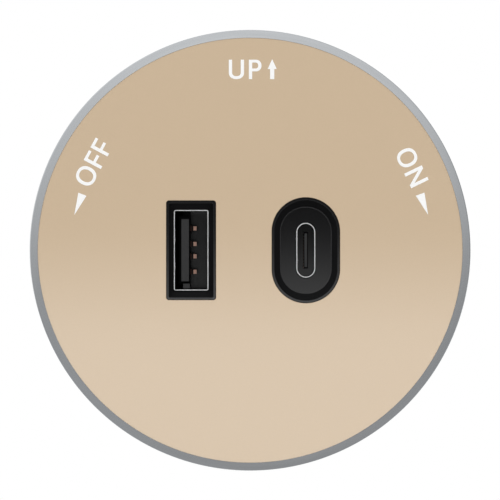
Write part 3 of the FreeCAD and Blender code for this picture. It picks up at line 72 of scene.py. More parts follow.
ring_low, ring_high = extent("bezel_ring")
plate_low, plate_high = extent("face_plate")
shell_a_low, shell_a_high = extent("usb_a_shell")
shell_c_low, shell_c_high = extent("usb_c_shell")
tongue_a_low, tongue_a_high = extent("usb_a_insulator")
tongue_c_low, tongue_c_high = extent("usb_c_insulator")
contact_a_high = extent("usb_a_contacts")[1]
frame_a_low, frame_a_high = extent("usb_a_frame")
frame_c_low, frame_c_high = extent("usb_c_frame")

DISC_RADIUS = ring_high.x
FRONT = ring_low.y
RING_REAR = ring_high.y
PLATE_FRONT = plate_low.y
PLATE_BACK = plate_high.y
FRAME_A_X = (frame_a_low.x + frame_a_high.x) / 2
FRAME_C_X = (frame_c_low.x + frame_c_high.x) / 2
FLANGE_BACK = frame_a_high.y

# Meshes: distances that count as none, and steps of curves
NEAR = 1e-6
MERGE = 1e-7
CDT_INSIDE = 1
ROUND_STEPS = 4
CORNER_STEPS = 10
BLOCK_STEPS = 3
TONGUE_STEPS = 4
OVAL_STEPS = 36
BASE_STEPS = 24
FINE_TURN = 288
SOFT_COSINE = math.cos(math.radians(35))

# Ring and plate
RING_WALL = 1.31
RING_FALL = 0.35
RING_EDGE = 0.15
RING_CORNER = 0.2
RING_LIP = 0.012
PLATE_SEAM = 0.003
PLATE_EDGE = 0.015
RIB_REACH = 1.2
RIB_HEIGHT = 1.6

# Port surrounds
FLANGE = 1.2
FRAME_GAP = 0.02
A_WIDTH = 8.0
A_HEIGHT = 16.0
A_CORNER = 0.45
A_RIM = 0.45
A_DEPTH = 1.0
A_RAMP_START = 0.4
A_RECESS_CORNER = 0.2
C_WIDTH = 10.98
C_HEIGHT = 17.02
C_RIM = 0.42
C_DEPTH = 1.2
C_INSET = 0.95
C_FLOOR_SHORT = 0.19
C_FLOOR_FLAT = 0.12
SEAM = 0.05
RIM_ROUND = 0.12
FLOOR_ROUND = 0.12
HOLE_ROUND = 0.02
FLANGE_CORNER = 0.8
PEG_HOLE = 0.42
PEG_TURN = 24
WALL_BACK = FLANGE_BACK - FLANGE
RECESS_LINE = 0.3

# USB-A shell, tongue and contacts
SHELL_A_HALF_WIDTH = (shell_a_high.x - shell_a_low.x) / 2
SHELL_A_HALF_HEIGHT = (shell_a_high.z - shell_a_low.z) / 2
SHELL_A_CORNER = 0.5
SHELL_A_WALL = 0.3
SHELL_A_BEND = 0.28
SHELL_A_STEPS = 5
SHELL_LIP = 0.03
SHELL_A_SHEET = 0.145
SHELL_A_TRIM = 0.07
PIN_REACH = 2.4
WINDOW_WIDE = 2.0
WINDOW_LONG = 1.8
WINDOW_BACK = 5.2
LEG_HALF = 0.6
LEG_CORNER = 0.05
TUCK = 0.2
A_BASE = 3.0
A_TONGUE_LEFT = -2.04
A_TONGUE_RIGHT = -0.2
A_TONGUE_HALF = 5.55
A_FACE_SHIFT = 0.14
A_FACE_INSET = 0.32
A_FACE_END = 0.55
A_FACE_CORNER = 0.08
A_TONGUE_CORNER = 0.12
A_TONGUE_ROUND = 0.04
A_BEVEL_DEEP = 0.9
A_RIB_WIDE = 1.13
A_RIB_END = 6.16
A_LOW_RIB = 0.1
A_HIGH_RIB = 2.5
A_STEP = 0.5
A_CONTACTS = (-3.48, -0.98, 1.02, 3.53)
A_CONTACT_HALF = 0.33
A_STRIP = 0.16
A_POCKET_BACK = 0.6
A_POCKET_WALL = 0.08
A_POCKET_REACH = 0.52
A_ROOT_LEFT = 0.03
A_ROOT_RIGHT = 0.34
A_ROOT_HALF = 0.44
A_ROOT_THICK = 0.04
A_NOSE_ROUND = 0.07
# The two sides of a contact's nose, as reach from the tongue and depth behind its front
A_NOSE_OUTSIDE = ((0.02, 1.2), (0.46, 3.2), (1.07, 3.28), (1.07, 3.95), (0.16, 5.2))
A_NOSE_INSIDE = ((0, 5.05), (0.91, 3.9), (0.91, 3.48), (0.3, 3.35), (-0.02, 1.4))

# USB-C shell, tongue and contacts
SHELL_C_HALF_WIDTH = (shell_c_high.x - shell_c_low.x) / 2
SHELL_C_HALF_HEIGHT = (shell_c_high.z - shell_c_low.z) / 2
SHELL_C_WALL = 0.25
SHELL_C_SHEET = 0.16
SHELL_C_TRIM = 0.055
SHELL_C_LONG = 8.8
SHELL_C_REAR = shell_c_low.y + SHELL_C_LONG
C_BASE = 4.2
C_TONGUE_HALF = 0.35
C_TONGUE_END = 2.95
C_FACE_INSET = 0.14
C_FACE_END = 0.24
C_FACE_CORNER = 0.05
C_TONGUE_CORNER = 0.1
C_TONGUE_ROUND = 0.03
C_BASE_GAP = 0.03
C_BASE_EDGE = 0.15
C_BEVEL_DEEP = 0.3
C_STRIPS = 12
C_PITCH = 0.5
C_STRIP = 0.015
C_STRIP_HALF = 0.12
C_STRIP_BACK = 2.2

# Screws
SCREW_TURN = 36
PITCH = 0.7
THREAD_STEPS = 4
THREAD_DEEP = 0.22
THREAD_TIP = 0.5
SCREW_EDGE = 0.3
HEAD_FALL = 0.4
HEAD_FLAT = 0.7
RECESS_ROUND = 0.08
COVER_SHANK = 1.1
COVER_HEAD = 2.1
COVER_HEAD_HIGH = 1.25
CROSS_REACH = 1.2
CROSS_ARM = 0.3
CROSS_DEEP = 0.95
CROSS_TAPER = 0.45
CAP_SHANK = 0.8
CAP_HEAD = 1.45
CAP_EDGE = 0.05
SLOT = ((1.0, -0.18), (1.0, 0.18), (-1.0, 0.18), (-1.0, -0.18))
SLOT_DEEP = 0.5

# Soft edges of the frame's nodes
NODE_EDGE = 0.1
NODE_EDGE_SHARE = 0.02
NODE_EDGE_STEPS = 2
NODE_EDGE_TURN = math.radians(32)
NODE_FLAT_TURN = math.radians(0.5)
FACE_WEIGHT = 100

# Printed marks: a word is drawn upright, its letters placed by their left ends, and is then
# moved outwards and turned about the axis
LETTER_STEPS = 64
BOWL_STEPS = 32
CAP = 3.13
TOP = CAP / 2
OVERSHOOT = 0.1
STEM = 0.53
BAR = 0.47
OVAL_POWER = 2.25
F_WIDTH = 1.8
F_MIDDLE = 1.46
F_SHORT = 0.06
N_WIDTH = 2.6
N_SLANT = 1.65
U_WIDTH = 2.45
U_BOWL = 1.05
U_POWER = 2.2
P_WIDTH = 2.03
P_BOWL = 1.89
P_POWER = 2.15
ARROW_WIDTH = 1.46
ARROW_HEAD = 1.6
ARROW_SHAFT = 0.68
ARROW_RISE = 0.1
UP_STARTS = (-3.43, -0.2, 2.82)
UP_OUT = 29.1
OFF_STARTS = (-3.42, 0.13, 2.43)
OFF_O_WIDTH = 2.99
OFF_OUT = 28.91
OFF_TURN = 61.77
ON_STARTS = (-3.8, -0.22)
ON_O_WIDTH = 2.94
ON_OUT = 29.24
ON_TURN = -64.05
OFF_POINTER = ((-27.64, 9.27), (-28.29, 5.68), (-26.33, 8.76))
ON_POINTER = ((28.05, 9.28), (26.66, 8.77), (28.64, 5.69))
INK_HEIGHT = 0.02

# Stage, in millimetres for what the camera mirrors and in metres for the room
CAMERA_AWAY = 900.0
VIEW_WIDTH = 80.45
VIEW_ACROSS = -0.02
VIEW_UP = 0.04
SENSOR = 36.0
CLIP_START = 0.05
CLIP_END = 20
REFLECTOR_BEHIND = 100.0
REFLECTOR_HALF = 90.0
REFLECTOR_HIGH = 110.0
REFLECTOR_LIGHT = 3.1
REFLECTOR_DIM = 0.1
FADE_TOP = 3.09
FADE_END = -13.4
TENT_RADIUS = 1.4
TENT_END = 125.0
TENT_STEPS = 28
TENT_TURNS = 96
TENT_LEAN = 0.045
TENT_HEIGHTS = (-0.15, 0.58)
TENT_LIGHTS = (0.42, 0.94)
TENT_EDGE = 0.55
TENT_EDGE_CHANGE = 0.3
TENT_TURN = (-0.72, -0.5)
CAMERA_SHADE = 0.3
CAMERA_SHADE_TURN = (-0.995, -0.95)
ROOM_LEVEL = 0.6
# Place, size, power, and whether reflections show the lamp
LAMPS = {
    "key_lamp": ((-0.9, -0.7, 1.1), 0.9, 10.8, False),
    "fill_lamp": ((1.1, -0.6, 0.8), 0.9, 8.5, False),
    "rear_lamp": ((0.3, 1.2, 0.9), 2.2, 5.0, True),
}
FLOOR_LEVEL = -0.12
FLOOR_HALF = 1.5
CLOTH_LIFT = 0.004
CLOTH_END = 0.02
CLOTH_SPAN = 0.12
CLOTH_LEFT = 0.45
CLOTH_RIGHT = 0.4
FLOOR_WHITE = 0.7
FLOOR_ROUGH = 0.9
FLOOR_GLOW = 0.35


# Mesh tools


def put(data):
    """An object of the scene, named like its data."""
    item = bpy.data.objects.new(data.name, data)
    bpy.context.scene.collection.objects.link(item)
    return item


def soften(path, size, closed=True):
    """Rounds the corners of a path of points by short curves, of one size or a size for each."""
    points = [Vector(point) for point in path]
    count = len(points)
    sizes = size if isinstance(size, (list, tuple)) else [size] * count
    result = []
    for index, point in enumerate(points):
        if not closed and index in (0, count - 1):
            result.append(point)
            continue
        before = points[index - 1] - point
        after = points[(index + 1) % count] - point
        reach = min(sizes[index], before.length / 2, after.length / 2)
        start = point + before.normalized() * reach
        end = point + after.normalized() * reach
        for step in range(ROUND_STEPS + 1):
            share = step / ROUND_STEPS
            result.append(start * (1 - share) ** 2 + point * 2 * share * (1 - share) + end * share ** 2)
    return result


def ring_of(radius, count=FINE_TURN, at=(0, 0)):
    """Points of a circle as X and Z."""
    if radius < NEAR:
        return [at]
    turns = [2 * math.pi * index / count for index in range(count)]
    return [(at[0] + radius * math.cos(turn), at[1] + radius * math.sin(turn)) for turn in turns]


def rounded(across, half_width, half_height, corner, steps, stops=()):
    """Points of an upright rectangle with round corners as X and Z.

    stops are heights, lowest first, at which both long sides get a point of their own.
    """
    points = []
    inner_x = half_width - corner
    inner_z = half_height - corner
    for quarter, (side, level) in enumerate(((1, 1), (-1, 1), (-1, -1), (1, -1))):
        for step in range(steps + 1):
            turn = math.pi / 2 * (quarter + step / steps)
            points.append((across + side * inner_x + corner * math.cos(turn),
                           level * inner_z + corner * math.sin(turn)))
        if side != level:
            order = stops if side > 0 else stops[::-1]
            points += [(across + side * half_width, height) for height in order]
    return points


def inside(point, outline):
    """Says whether a point lies within a closed outline."""
    result = False
    for first, second in zip(outline, outline[1:] + outline[:1]):
        if (first.y > point.y) != (second.y > point.y):
            share = (point.y - first.y) / (second.y - first.y)
            if point.x < first.x + share * (second.x - first.x):
                result = not result
    return result


class Solid:
    """A mesh made of loops that are joined one to the next."""

    def __init__(self):
        self.mesh = bmesh.new()

    def place(self, points):
        """Vertices at points in millimetres."""
        return [self.mesh.verts.new(Vector(point) * MM) for point in points]

    def loop(self, points, depth):
        """Vertices at points of X and Z, all at one depth."""
        return self.place([(x, depth, z) for x, z in points])

    def join(self, first, second):
        """Fills the band between two loops. A loop of one point closes it."""
        count = max(len(first), len(second))
        for index in range(count):
            corners = []
            for loop, place in ((first, index), (first, index + 1),
                                (second, index + 1), (second, index)):
                vertex = loop[place % len(loop)]
                if vertex not in corners:
                    corners.append(vertex)
            if len(corners) > 2:
                self.mesh.faces.new(corners)

    def band(self, loops, closed=False):
        """Joins loops in order, and the last to the first if the band is closed."""
        for first, second in zip(loops, loops[1:]):
            self.join(first, second)
        if closed:
            self.join(loops[-1], loops[0])

    def fill(self, outline, *holes):
        """Fills the flat face between an outline and the holes in it."""
        corners = [vertex for loop in (outline, *holes) for vertex in loop]
        spans = [max(row) - min(row) for row in zip(*[vertex.co for vertex in corners])]
        across, up = [axis for axis in range(3) if axis != spans.index(min(spans))]

        def flatten(loop):
            return [Vector((vertex.co[across], vertex.co[up])) / MM for vertex in loop]

        edges = []
        begin = 0
        for loop in (outline, *holes):
            count = len(loop)
            edges += [(begin + index, begin + (index + 1) % count) for index in range(count)]
            begin += count
        points, _, faces, origins, _, _ = delaunay_2d_cdt(flatten(corners), edges, [],
                                                          CDT_INSIDE, NEAR)
        rims = [flatten(loop) for loop in holes]
        for face in faces:
            middle = sum((points[index] for index in face), Vector((0, 0))) / len(face)
            if not any(inside(middle, rim) for rim in rims):
                self.mesh.faces.new([corners[origins[index][0]] for index in face])

    def close(self, loops):
        """Joins loops in order and fills both ends."""
        self.band(loops)
        self.fill(loops[0])
        self.fill(loops[-1])

    def loft(self, path, round_size, steps):
        """A closed form through upright sections.

        Each is its place across, half width, half height, corner and depth.
        """
        self.close([self.loop(rounded(*point[:4], steps), point[4])
                    for point in soften(path, round_size, closed=False)])

    def block(self, low, high, edge=0.0):
        """An upright box between two corners, its front and rear edges rounded."""
        half_width, half_height = ((high[axis] - low[axis]) / 2 for axis in (0, 2))
        across, up = ((low[axis] + high[axis]) / 2 for axis in (0, 2))
        loops = []
        for inset, depth in ((edge, low[1]), (0, low[1] + edge), (0, high[1] - edge), (edge, high[1])):
            outline = rounded(across, half_width - inset, half_height - inset, edge, BLOCK_STEPS)
            loops.append(self.loop([(x, z + up) for x, z in outline], depth))
        self.close(loops)

    def strip(self, outline, low, high):
        """A form drawn as X and depth, and pulled up from one height to another."""
        self.close([self.place([(x, depth, height) for x, depth in outline]) for height in (low, high)])

    def wall(self, outer, inner, gone):
        """A wall between two sheets of loops. gone names the cells that are open."""
        rows = len(outer) - 1
        count = len(outer[0])
        full = {(row, place) for row in range(rows) for place in range(count)} - set(gone)
        for row, place in sorted(full):
            after = (place + 1) % count
            cell = ((row, place), (row, after), (row + 1, after), (row + 1, place))
            for sheet_loops in (outer, inner):
                self.mesh.faces.new([sheet_loops[level][spot] for level, spot in cell])
            beside = ((row - 1, place), (row, after), (row + 1, place), (row, (place - 1) % count))
            for index, neighbour in enumerate(beside):
                if neighbour not in full:
                    (level, spot), (next_level, next_spot) = cell[index], cell[(index + 1) % 4]
                    self.mesh.faces.new([outer[level][spot], outer[next_level][next_spot],
                                         inner[next_level][next_spot], inner[level][spot]])

    def lathe(self, profile):
        """Turns a closed profile of radius and depth about the axis."""
        self.band([self.loop(ring_of(radius), depth) for radius, depth in profile], closed=True)

    def data(self, name):
        """The mesh, ready for an object."""
        data = bpy.data.meshes.new(name)
        self.mesh.to_mesh(data)
        self.mesh.free()
        return data

    def piece(self, name, material):
        """Makes a piece of the housing, its edges shaded by the size of the faces beside them."""
        bmesh.ops.remove_doubles(self.mesh, verts=self.mesh.verts, dist=MERGE)
        bmesh.ops.recalc_face_normals(self.mesh, faces=self.mesh.faces)
        data = self.data(name)
        shade(data)
        data.materials.append(material)
        item = put(data)
        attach(item, "housing")
        return item

    def stand_in(self, name, slot, node):
        """Makes the piece that is shown for a node, in the finish of its slot."""
        item = self.piece(name, FINISHES[slot])
        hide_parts(node)
        return item


def shade(data):
    """Sets normals by which flat faces look flat, small roundings round and hard edges hard.

    Each corner takes the mean of the faces about it that turn little from its own, and a large
    face counts far more than a small one.
    """
    around = [[] for _ in data.vertices]
    for face in data.polygons:
        for index in face.vertices:
            around[index].append(face)
    weights = [(face.area / MM ** 2) ** 2 for face in data.polygons]
    normals = []
    for face in data.polygons:
        for index in face.vertices:
            total = Vector()
            for other in around[index]:
                if other.normal.dot(face.normal) > SOFT_COSINE:
                    total += other.normal * weights[other.index]
            normals.append(total.normalized() if total.length > 0 else face.normal.copy())
    data.shade_smooth()
    data.normals_split_custom_set(normals)


# Materials


NOISE_LOW = 0.3
NOISE_HIGH = 0.7
FINE_DETAIL = 4.0
PATCH_DETAIL = 3.0
PLASTIC_TINT = 0.06
PLASTIC_PATCH = 4
METAL_TINT = 0.04
METAL_PATCH = 3
RELIEF = 0.3
LOW_RELIEF = 0.2
RECESS_GRAIN = 7000
RECESS_PATCH = 2500
RECESS_FINE = 9000
RECESS_RELIEF = 0.0005
EVEN = (1, 1, 1)
# Noise drawn out round the axis, which runs along Y
TURNED = (0.02, 1, 0.02)


def add(tree, kind, *values, **named):
    """A shader node. Values go to its inputs by place or by name. A socket among them is linked.

    A name that is no input is a setting of the node.
    """
    node = tree.nodes.new("ShaderNode" + kind)
    for name, value in [*enumerate(values), *named.items()]:
        if name in named and name not in node.inputs:
            setattr(node, name, value)
        elif isinstance(value, bpy.types.NodeSocket):
            tree.links.new(value, node.inputs[name])
        else:
            node.inputs[name].default_value = value
    return node


def map_range(tree, source, low, high, out_low, out_high, **settings):
    """Maps a value from one range to another and stops at both ends."""
    return add(tree, "MapRange", source, low, high, out_low, out_high, **settings).outputs["Result"]


class Finish:
    """A procedural material that is built node by node."""

    def __init__(self, name, color, **values):
        self.material = bpy.data.materials.new(name)
        self.material.use_nodes = True
        self.tree = self.material.node_tree
        self.shader = self.tree.nodes["Principled BSDF"]
        self.color = color
        self.shader.inputs["Base Color"].default_value = (*color, 1)
        for socket, value in values.items():
            self.shader.inputs[socket.replace("_", " ")].default_value = value
        self.place = add(self.tree, "TexCoord").outputs["Object"]

    def feed(self, socket, source):
        self.tree.links.new(source, self.shader.inputs[socket])
        return self

    def noise(self, scale, detail, stretch):
        """Noise in object space, scale in cycles to a metre, drawn out along an axis."""
        mapping = add(self.tree, "Mapping", self.place, Scale=stretch)
        return add(self.tree, "TexNoise", mapping.outputs[0], Scale=scale, Detail=detail).outputs["Fac"]

    def spread(self, source, low, high):
        """Maps noise about its middle to a range."""
        return map_range(self.tree, source, NOISE_LOW, NOISE_HIGH, low, high)

    def rough(self, low, high, scale, stretch=EVEN):
        """Varies the roughness between two values."""
        return self.feed("Roughness", self.spread(self.noise(scale, FINE_DETAIL, stretch), low, high))

    def tint(self, change, scale, stretch=EVEN):
        """Varies the colour a little, darker and lighter about its own value."""
        patches = self.spread(self.noise(scale, PATCH_DETAIL, stretch), 0, 1)
        mix = add(self.tree, "Mix", patches, data_type="RGBA")
        ends = [socket for socket in mix.inputs if socket.type == "RGBA"]
        for socket, share in zip(ends, (1 - change, 1 + change)):
            socket.default_value = (*[min(1, value * share) for value in self.color], 1)
        return self.feed("Base Color", [socket for socket in mix.outputs if socket.type == "RGBA"][0])

    def bump(self, height, scale, strength, stretch=EVEN):
        """Fine relief, height in millimetres."""
        height_noise = self.noise(scale, FINE_DETAIL, stretch)
        node = add(self.tree, "Bump", Strength=strength, Distance=height * MM, Height=height_noise)
        return self.feed("Normal", node.outputs["Normal"])


def linear(color):
    """A colour as a screen shows it, from 0 to 255, as light."""
    shares = [value / 255 for value in color]
    return [share / 12.92 if share <= 0.04045 else ((share + 0.055) / 1.055) ** 2.4 for share in shares]


def plastic(name, color, low, high, grain, relief):
    """Roughness from low to high, grain in cycles to a metre, relief in millimetres."""
    finish = Finish(name, linear(color), Roughness=(low + high) / 2)
    finish.rough(low, high, grain).tint(PLASTIC_TINT, grain / PLASTIC_PATCH)
    return finish.bump(relief, grain, RELIEF).material


def metal(name, color, low, high, grain, relief, stretch=EVEN):
    """As plastic, but with its colour as light and noise that may be drawn out along an axis."""
    finish = Finish(name, color, Metallic=1.0)
    finish.rough(low, high, grain, stretch).tint(METAL_TINT, grain / METAL_PATCH, stretch)
    return finish.bump(relief, grain, LOW_RELIEF, stretch).material


def recess(name, color, low, high, level):
    """Plastic of the recesses, which mirrors less than the rims do. It also makes the painted shade and
    painted highlights in the ports.
    """
    finish = Finish(name, linear(color), Specular_IOR_Level=level)
    finish.rough(low, high, RECESS_GRAIN).tint(PLASTIC_TINT, RECESS_PATCH)
    return finish.bump(RECESS_RELIEF, RECESS_FINE, LOW_RELIEF).material


# Champagne lacquer over a fine matt ground, under a thin clear coat
CHAMPAGNE = Finish("champagne_face", linear((204, 182, 154)), Roughness=0.55, Coat_Weight=1.0,
                   Coat_Roughness=0.06, Coat_IOR=1.5, Specular_IOR_Level=0.0)
CHAMPAGNE.rough(0.5, 0.62, 9000).tint(0.012, 6000).bump(0.002, 12000, 0.15)
WHITE_INK = Finish("white_ink", (0.93, 0.93, 0.92), Roughness=0.5)
WHITE_INK.rough(0.42, 0.56, 8000).tint(0.01, 5000).bump(0.002, 9000, 0.1)

# The finish of each slot
PLASTICS = {
    "housing": ("housing_black", (42, 42, 44), 0.44, 0.64, 3600, 0.16),
    "port_tongue": ("tongue_black", (37, 37, 38), 0.35, 0.5, 7000, 0.004),
    "circuit_board": ("solder_mask", (28.6, 84.6, 52.5), 0.25, 0.4, 1500, 0.01),
    "ferrite": ("ferrite", (52, 52, 55), 0.55, 0.75, 3000, 0.02),
    "bobbin": ("bobbin_black", (36, 36, 38), 0.4, 0.55, 3500, 0.01),
    "tape": ("polyester_tape", (218, 178, 62), 0.15, 0.3, 900, 0.02),
    "capacitor_can": ("capacitor_sleeve", (38, 44, 66), 0.22, 0.35, 2000, 0.01),
    "x_capacitor_case": ("box_yellow", (216, 184, 42), 0.35, 0.5, 2500, 0.01),
    "y_capacitor_coat": ("epoxy_blue", (46, 92, 170), 0.25, 0.4, 1200, 0.03),
    "fuse_case": ("fuse_grey", (60, 60, 64), 0.4, 0.5, 3000, 0.01),
    "chip_case": ("chip_epoxy", (30, 30, 31), 0.45, 0.6, 7000, 0.005),
    "shoe": ("shoe_nylon", (56, 56, 58), 0.4, 0.58, 4600, 0.1),
    "plug": ("plug_nylon", (46, 46, 48), 0.38, 0.54, 4600, 0.1),
    "lead_live": ("insulation_brown", (96, 56, 32), 0.4, 0.5, 2500, 0.01),
    "lead_neutral": ("insulation_blue", (36, 76, 160), 0.4, 0.5, 2500, 0.01),
    "lead_earth": ("insulation_green", (70, 150, 50), 0.4, 0.5, 2500, 0.01),
}
METALS = {
    "bezel": ("satin_aluminium", (0.59, 0.61, 0.63), 0.19, 0.27, 9000, 0.0012, TURNED),
    "port_shell": ("nickel_plate", (0.84, 0.85, 0.86), 0.16, 0.3, 5000, 0.0005, (1, 0.1, 1)),
    "port_contact": ("copper_contact", (0.55, 0.34, 0.27), 0.25, 0.4, 6000, 0.002),
    "copper_wire": ("enamelled_copper", (0.72, 0.34, 0.17), 0.2, 0.32, 3000, 0.01, (1, 1, 6)),
    "screw_steel": ("zinc_plate", (0.42, 0.42, 0.41), 0.28, 0.42, 3500, 0.004),
    "spring_steel": ("spring_steel", (0.45, 0.46, 0.47), 0.2, 0.34, 4000, 0.003, (1, 1, 8)),
    "track_contact": ("tin_bronze", (0.66, 0.48, 0.24), 0.2, 0.34, 3500, 0.004),
}
FINISHES = {
    "face": CHAMPAGNE.material,
    "port_black": recess("port_black", (16, 16, 17), 0.05, 0.08, 0.34),
    **{slot: plastic(*values) for slot, values in PLASTICS.items()},
    **{slot: metal(*values) for slot, values in METALS.items()},
}

# Finishes of single faces, among them painted shade and painted highlights
MATT_RECESS = recess("recess_matt", (15, 15, 16), 0.55, 0.7, 0.1)
# The glossy black of the USB-C floor, which on the base behind the USB-C tongue stands in for painted
# shade
GLOSSY_RECESS_AND_SHADE = recess("recess_glossy_and_shade", (15, 15, 16), 0.05, 0.07, 0.27)
# A lighter black with more gloss for the rounding at the edge of the USB-C floor: a painted highlight
# line
RECESS_EDGE_HIGHLIGHT = recess("recess_edge_highlight", (34, 34, 35), 0.12, 0.18, 0.6)
# A darker copy of the tongue's plastic for the base deep in the USB-A port: painted shade
CAVITY_SHADE = recess("cavity_shade", (18, 18, 19), 0.12, 0.2, 0.19)
# A near-black copy of the tongue's plastic for the tongues' sides and the parts deep in the ports:
# painted shade
DEEP_SHADE = recess("deep_shade", (10, 10, 11), 0.5, 0.65, 0.1)
# A dark copy of the contact copper for the contacts' roots: painted shade
SHADED_COPPER = recess("shaded_copper", (37, 22, 18), 0.6, 0.75, 0.1)
# A lighter copy of the shells' nickel for their front lips: a painted highlight
LIP_HIGHLIGHT = metal("lip_highlight", (0.96, 0.97, 0.98), 0.28, 0.36, 5000, 0.0005)


# Front of the socket


def bezel_ring():
    """A ring whose front falls away outwards, with a rib inside that holds the front shell."""
    inner = DISC_RADIUS - RING_WALL
    rib_front = RING_REAR - RIB_HEIGHT
    profile = [(inner, FRONT), (DISC_RADIUS, FRONT + RING_FALL), (DISC_RADIUS, RING_REAR),
               (inner - RIB_REACH, RING_REAR), (inner - RIB_REACH, rib_front), (inner, rib_front)]
    solid = Solid()
    solid.lathe(soften(profile, [RING_LIP, RING_CORNER] + [RING_EDGE] * 4))
    solid.stand_in("bezel_ring_turned", "bezel", "bezel_ring")


def face_plate():
    """A flat sheet with the two port openings."""
    edge = PLATE_EDGE
    radius = DISC_RADIUS - RING_WALL - PLATE_SEAM
    levels = [(edge, PLATE_FRONT), (0, PLATE_FRONT + edge), (0, PLATE_BACK - edge), (edge, PLATE_BACK)]
    solid = Solid()
    outer = [solid.loop(ring_of(radius - inset), depth) for inset, depth in levels]

    def opening(across, half_width, half_height, corner, steps):
        return [solid.loop(rounded(across, half_width + inset, half_height + inset, corner + inset,
                                   steps), depth) for inset, depth in levels]

    port_a = opening(FRAME_A_X, A_WIDTH / 2 + FRAME_GAP, A_HEIGHT / 2 + FRAME_GAP, A_CORNER, CORNER_STEPS)
    radius_c = C_WIDTH / 2 + FRAME_GAP
    port_c = opening(FRAME_C_X, radius_c, C_HEIGHT / 2 + FRAME_GAP, radius_c, OVAL_STEPS)
    for loops in (outer, port_a, port_c):
        solid.band(loops)
    solid.fill(outer[0], port_a[0], port_c[0])
    solid.fill(outer[-1], port_a[-1], port_c[-1])
    solid.stand_in("face_plate_sheet", "face", "face_plate")


def surround(name, node, across, outer, levels, peg_offset):
    """A port surround: a rim in the opening of the plate, a recess, and a flange behind the wall.

    outer holds the half width, half height, corner and steps of the rim. levels are the half width,
    half height, corner and depth of the recess, from the hole at the back to the rim's inner edge.
    The recess itself is matt.
    """
    half_width, half_height, corner, steps = outer
    rim = [(*levels[-1][:3], FRONT), (half_width, half_height, corner, FRONT)]
    path = [*levels, *rim, (half_width, half_height, corner, WALL_BACK)]
    sizes = [0, HOLE_ROUND, FLOOR_ROUND, RIM_ROUND, RIM_ROUND, RIM_ROUND, 0]
    solid = Solid()
    loops = [solid.loop(rounded(across, *point[:3], steps), point[3])
             for point in soften(path, sizes, closed=False)]
    solid.band(loops)
    pegs = [[solid.loop(ring_of(PEG_HOLE, PEG_TURN, (across, side * peg_offset)), level)
             for side in (1, -1)] for level in (WALL_BACK, FLANGE_BACK)]
    for first, second in zip(*pegs):
        solid.join(first, second)
    edge = rounded(across, half_width + FLANGE, half_height + FLANGE, FLANGE_CORNER, steps)
    flange = [solid.loop(edge, level) for level in (WALL_BACK, FLANGE_BACK)]
    solid.band(flange)
    solid.fill(flange[0], loops[-1], *pegs[0])
    solid.fill(flange[1], loops[0], *pegs[1])
    item = solid.stand_in(name, "port_black", node)
    refinish(item, MATT_RECESS, FRONT + RECESS_LINE, 0,
             (across - half_width + RECESS_LINE, RECESS_LINE - half_height),
             (across + half_width - RECESS_LINE, half_height - RECESS_LINE))
    return item


def refinish(item, material, front, rear, low=(-DISC_RADIUS, -DISC_RADIUS),
             high=(DISC_RADIUS, DISC_RADIUS)):
    """Gives the faces of a piece between two depths and two corners another material."""
    item.data.materials.append(material)
    for face in item.data.polygons:
        across, depth, up = face.center / MM
        if front < depth < rear and low[0] < across < high[0] and low[1] < up < high[1]:
            face.material_index = len(item.data.materials) - 1


def usb_a_surround():
    hole = (SHELL_A_HALF_WIDTH + SEAM, SHELL_A_HALF_HEIGHT + SEAM, SHELL_A_CORNER)
    floor_depth = FRONT + A_DEPTH
    inner_width = A_WIDTH / 2 - A_RIM
    levels = [(*hole, FLANGE_BACK), (*hole, floor_depth),
              (inner_width, SHELL_A_HALF_HEIGHT, A_RECESS_CORNER, floor_depth),
              (inner_width, A_HEIGHT / 2 - A_RIM, A_RECESS_CORNER, FRONT + A_RAMP_START)]
    outer = (A_WIDTH / 2, A_HEIGHT / 2, A_CORNER, CORNER_STEPS)
    surround("usb_a_surround", "usb_a_frame", FRAME_A_X, outer, levels, (A_HEIGHT + FLANGE) / 2)


def usb_c_surround():
    radius = SHELL_C_HALF_WIDTH + SEAM
    floor_depth = FRONT + C_DEPTH
    inner = C_WIDTH / 2 - C_RIM
    floor_half = inner - C_INSET
    straight = (C_HEIGHT - C_WIDTH) / 2
    levels = [(radius, SHELL_C_HALF_HEIGHT + SEAM, radius, FLANGE_BACK),
              (radius, SHELL_C_HALF_HEIGHT + SEAM, radius, floor_depth),
              (floor_half, floor_half + straight - C_FLOOR_SHORT, floor_half - C_FLOOR_FLAT,
               floor_depth),
              (inner, inner + straight, inner, FRONT + RIM_ROUND)]
    outer = (C_WIDTH / 2, C_HEIGHT / 2, C_WIDTH / 2, OVAL_STEPS)
    item = surround("usb_c_surround", "usb_c_frame", FRAME_C_X, outer, levels, (C_HEIGHT + FLANGE) / 2)
    # The rounding at the floor's edge is painted lighter as a highlight line
    for finish, depth in ((RECESS_EDGE_HIGHLIGHT, FLOOR_ROUND), (GLOSSY_RECESS_AND_SHADE, PLATE_SEAM)):
        refinish(item, finish, floor_depth - depth, floor_depth + PLATE_SEAM)


def legs(solid, across, half_width, wall, up, rear, end):
    """Two pairs of legs that go through the board."""
    for side in (1, -1):
        middle = across + side * (half_width - wall / 2)
        for level in (up, -up):
            solid.block((middle - wall / 2, rear, level - LEG_HALF),
                        (middle + wall / 2, end, level + LEG_HALF), LEG_CORNER)


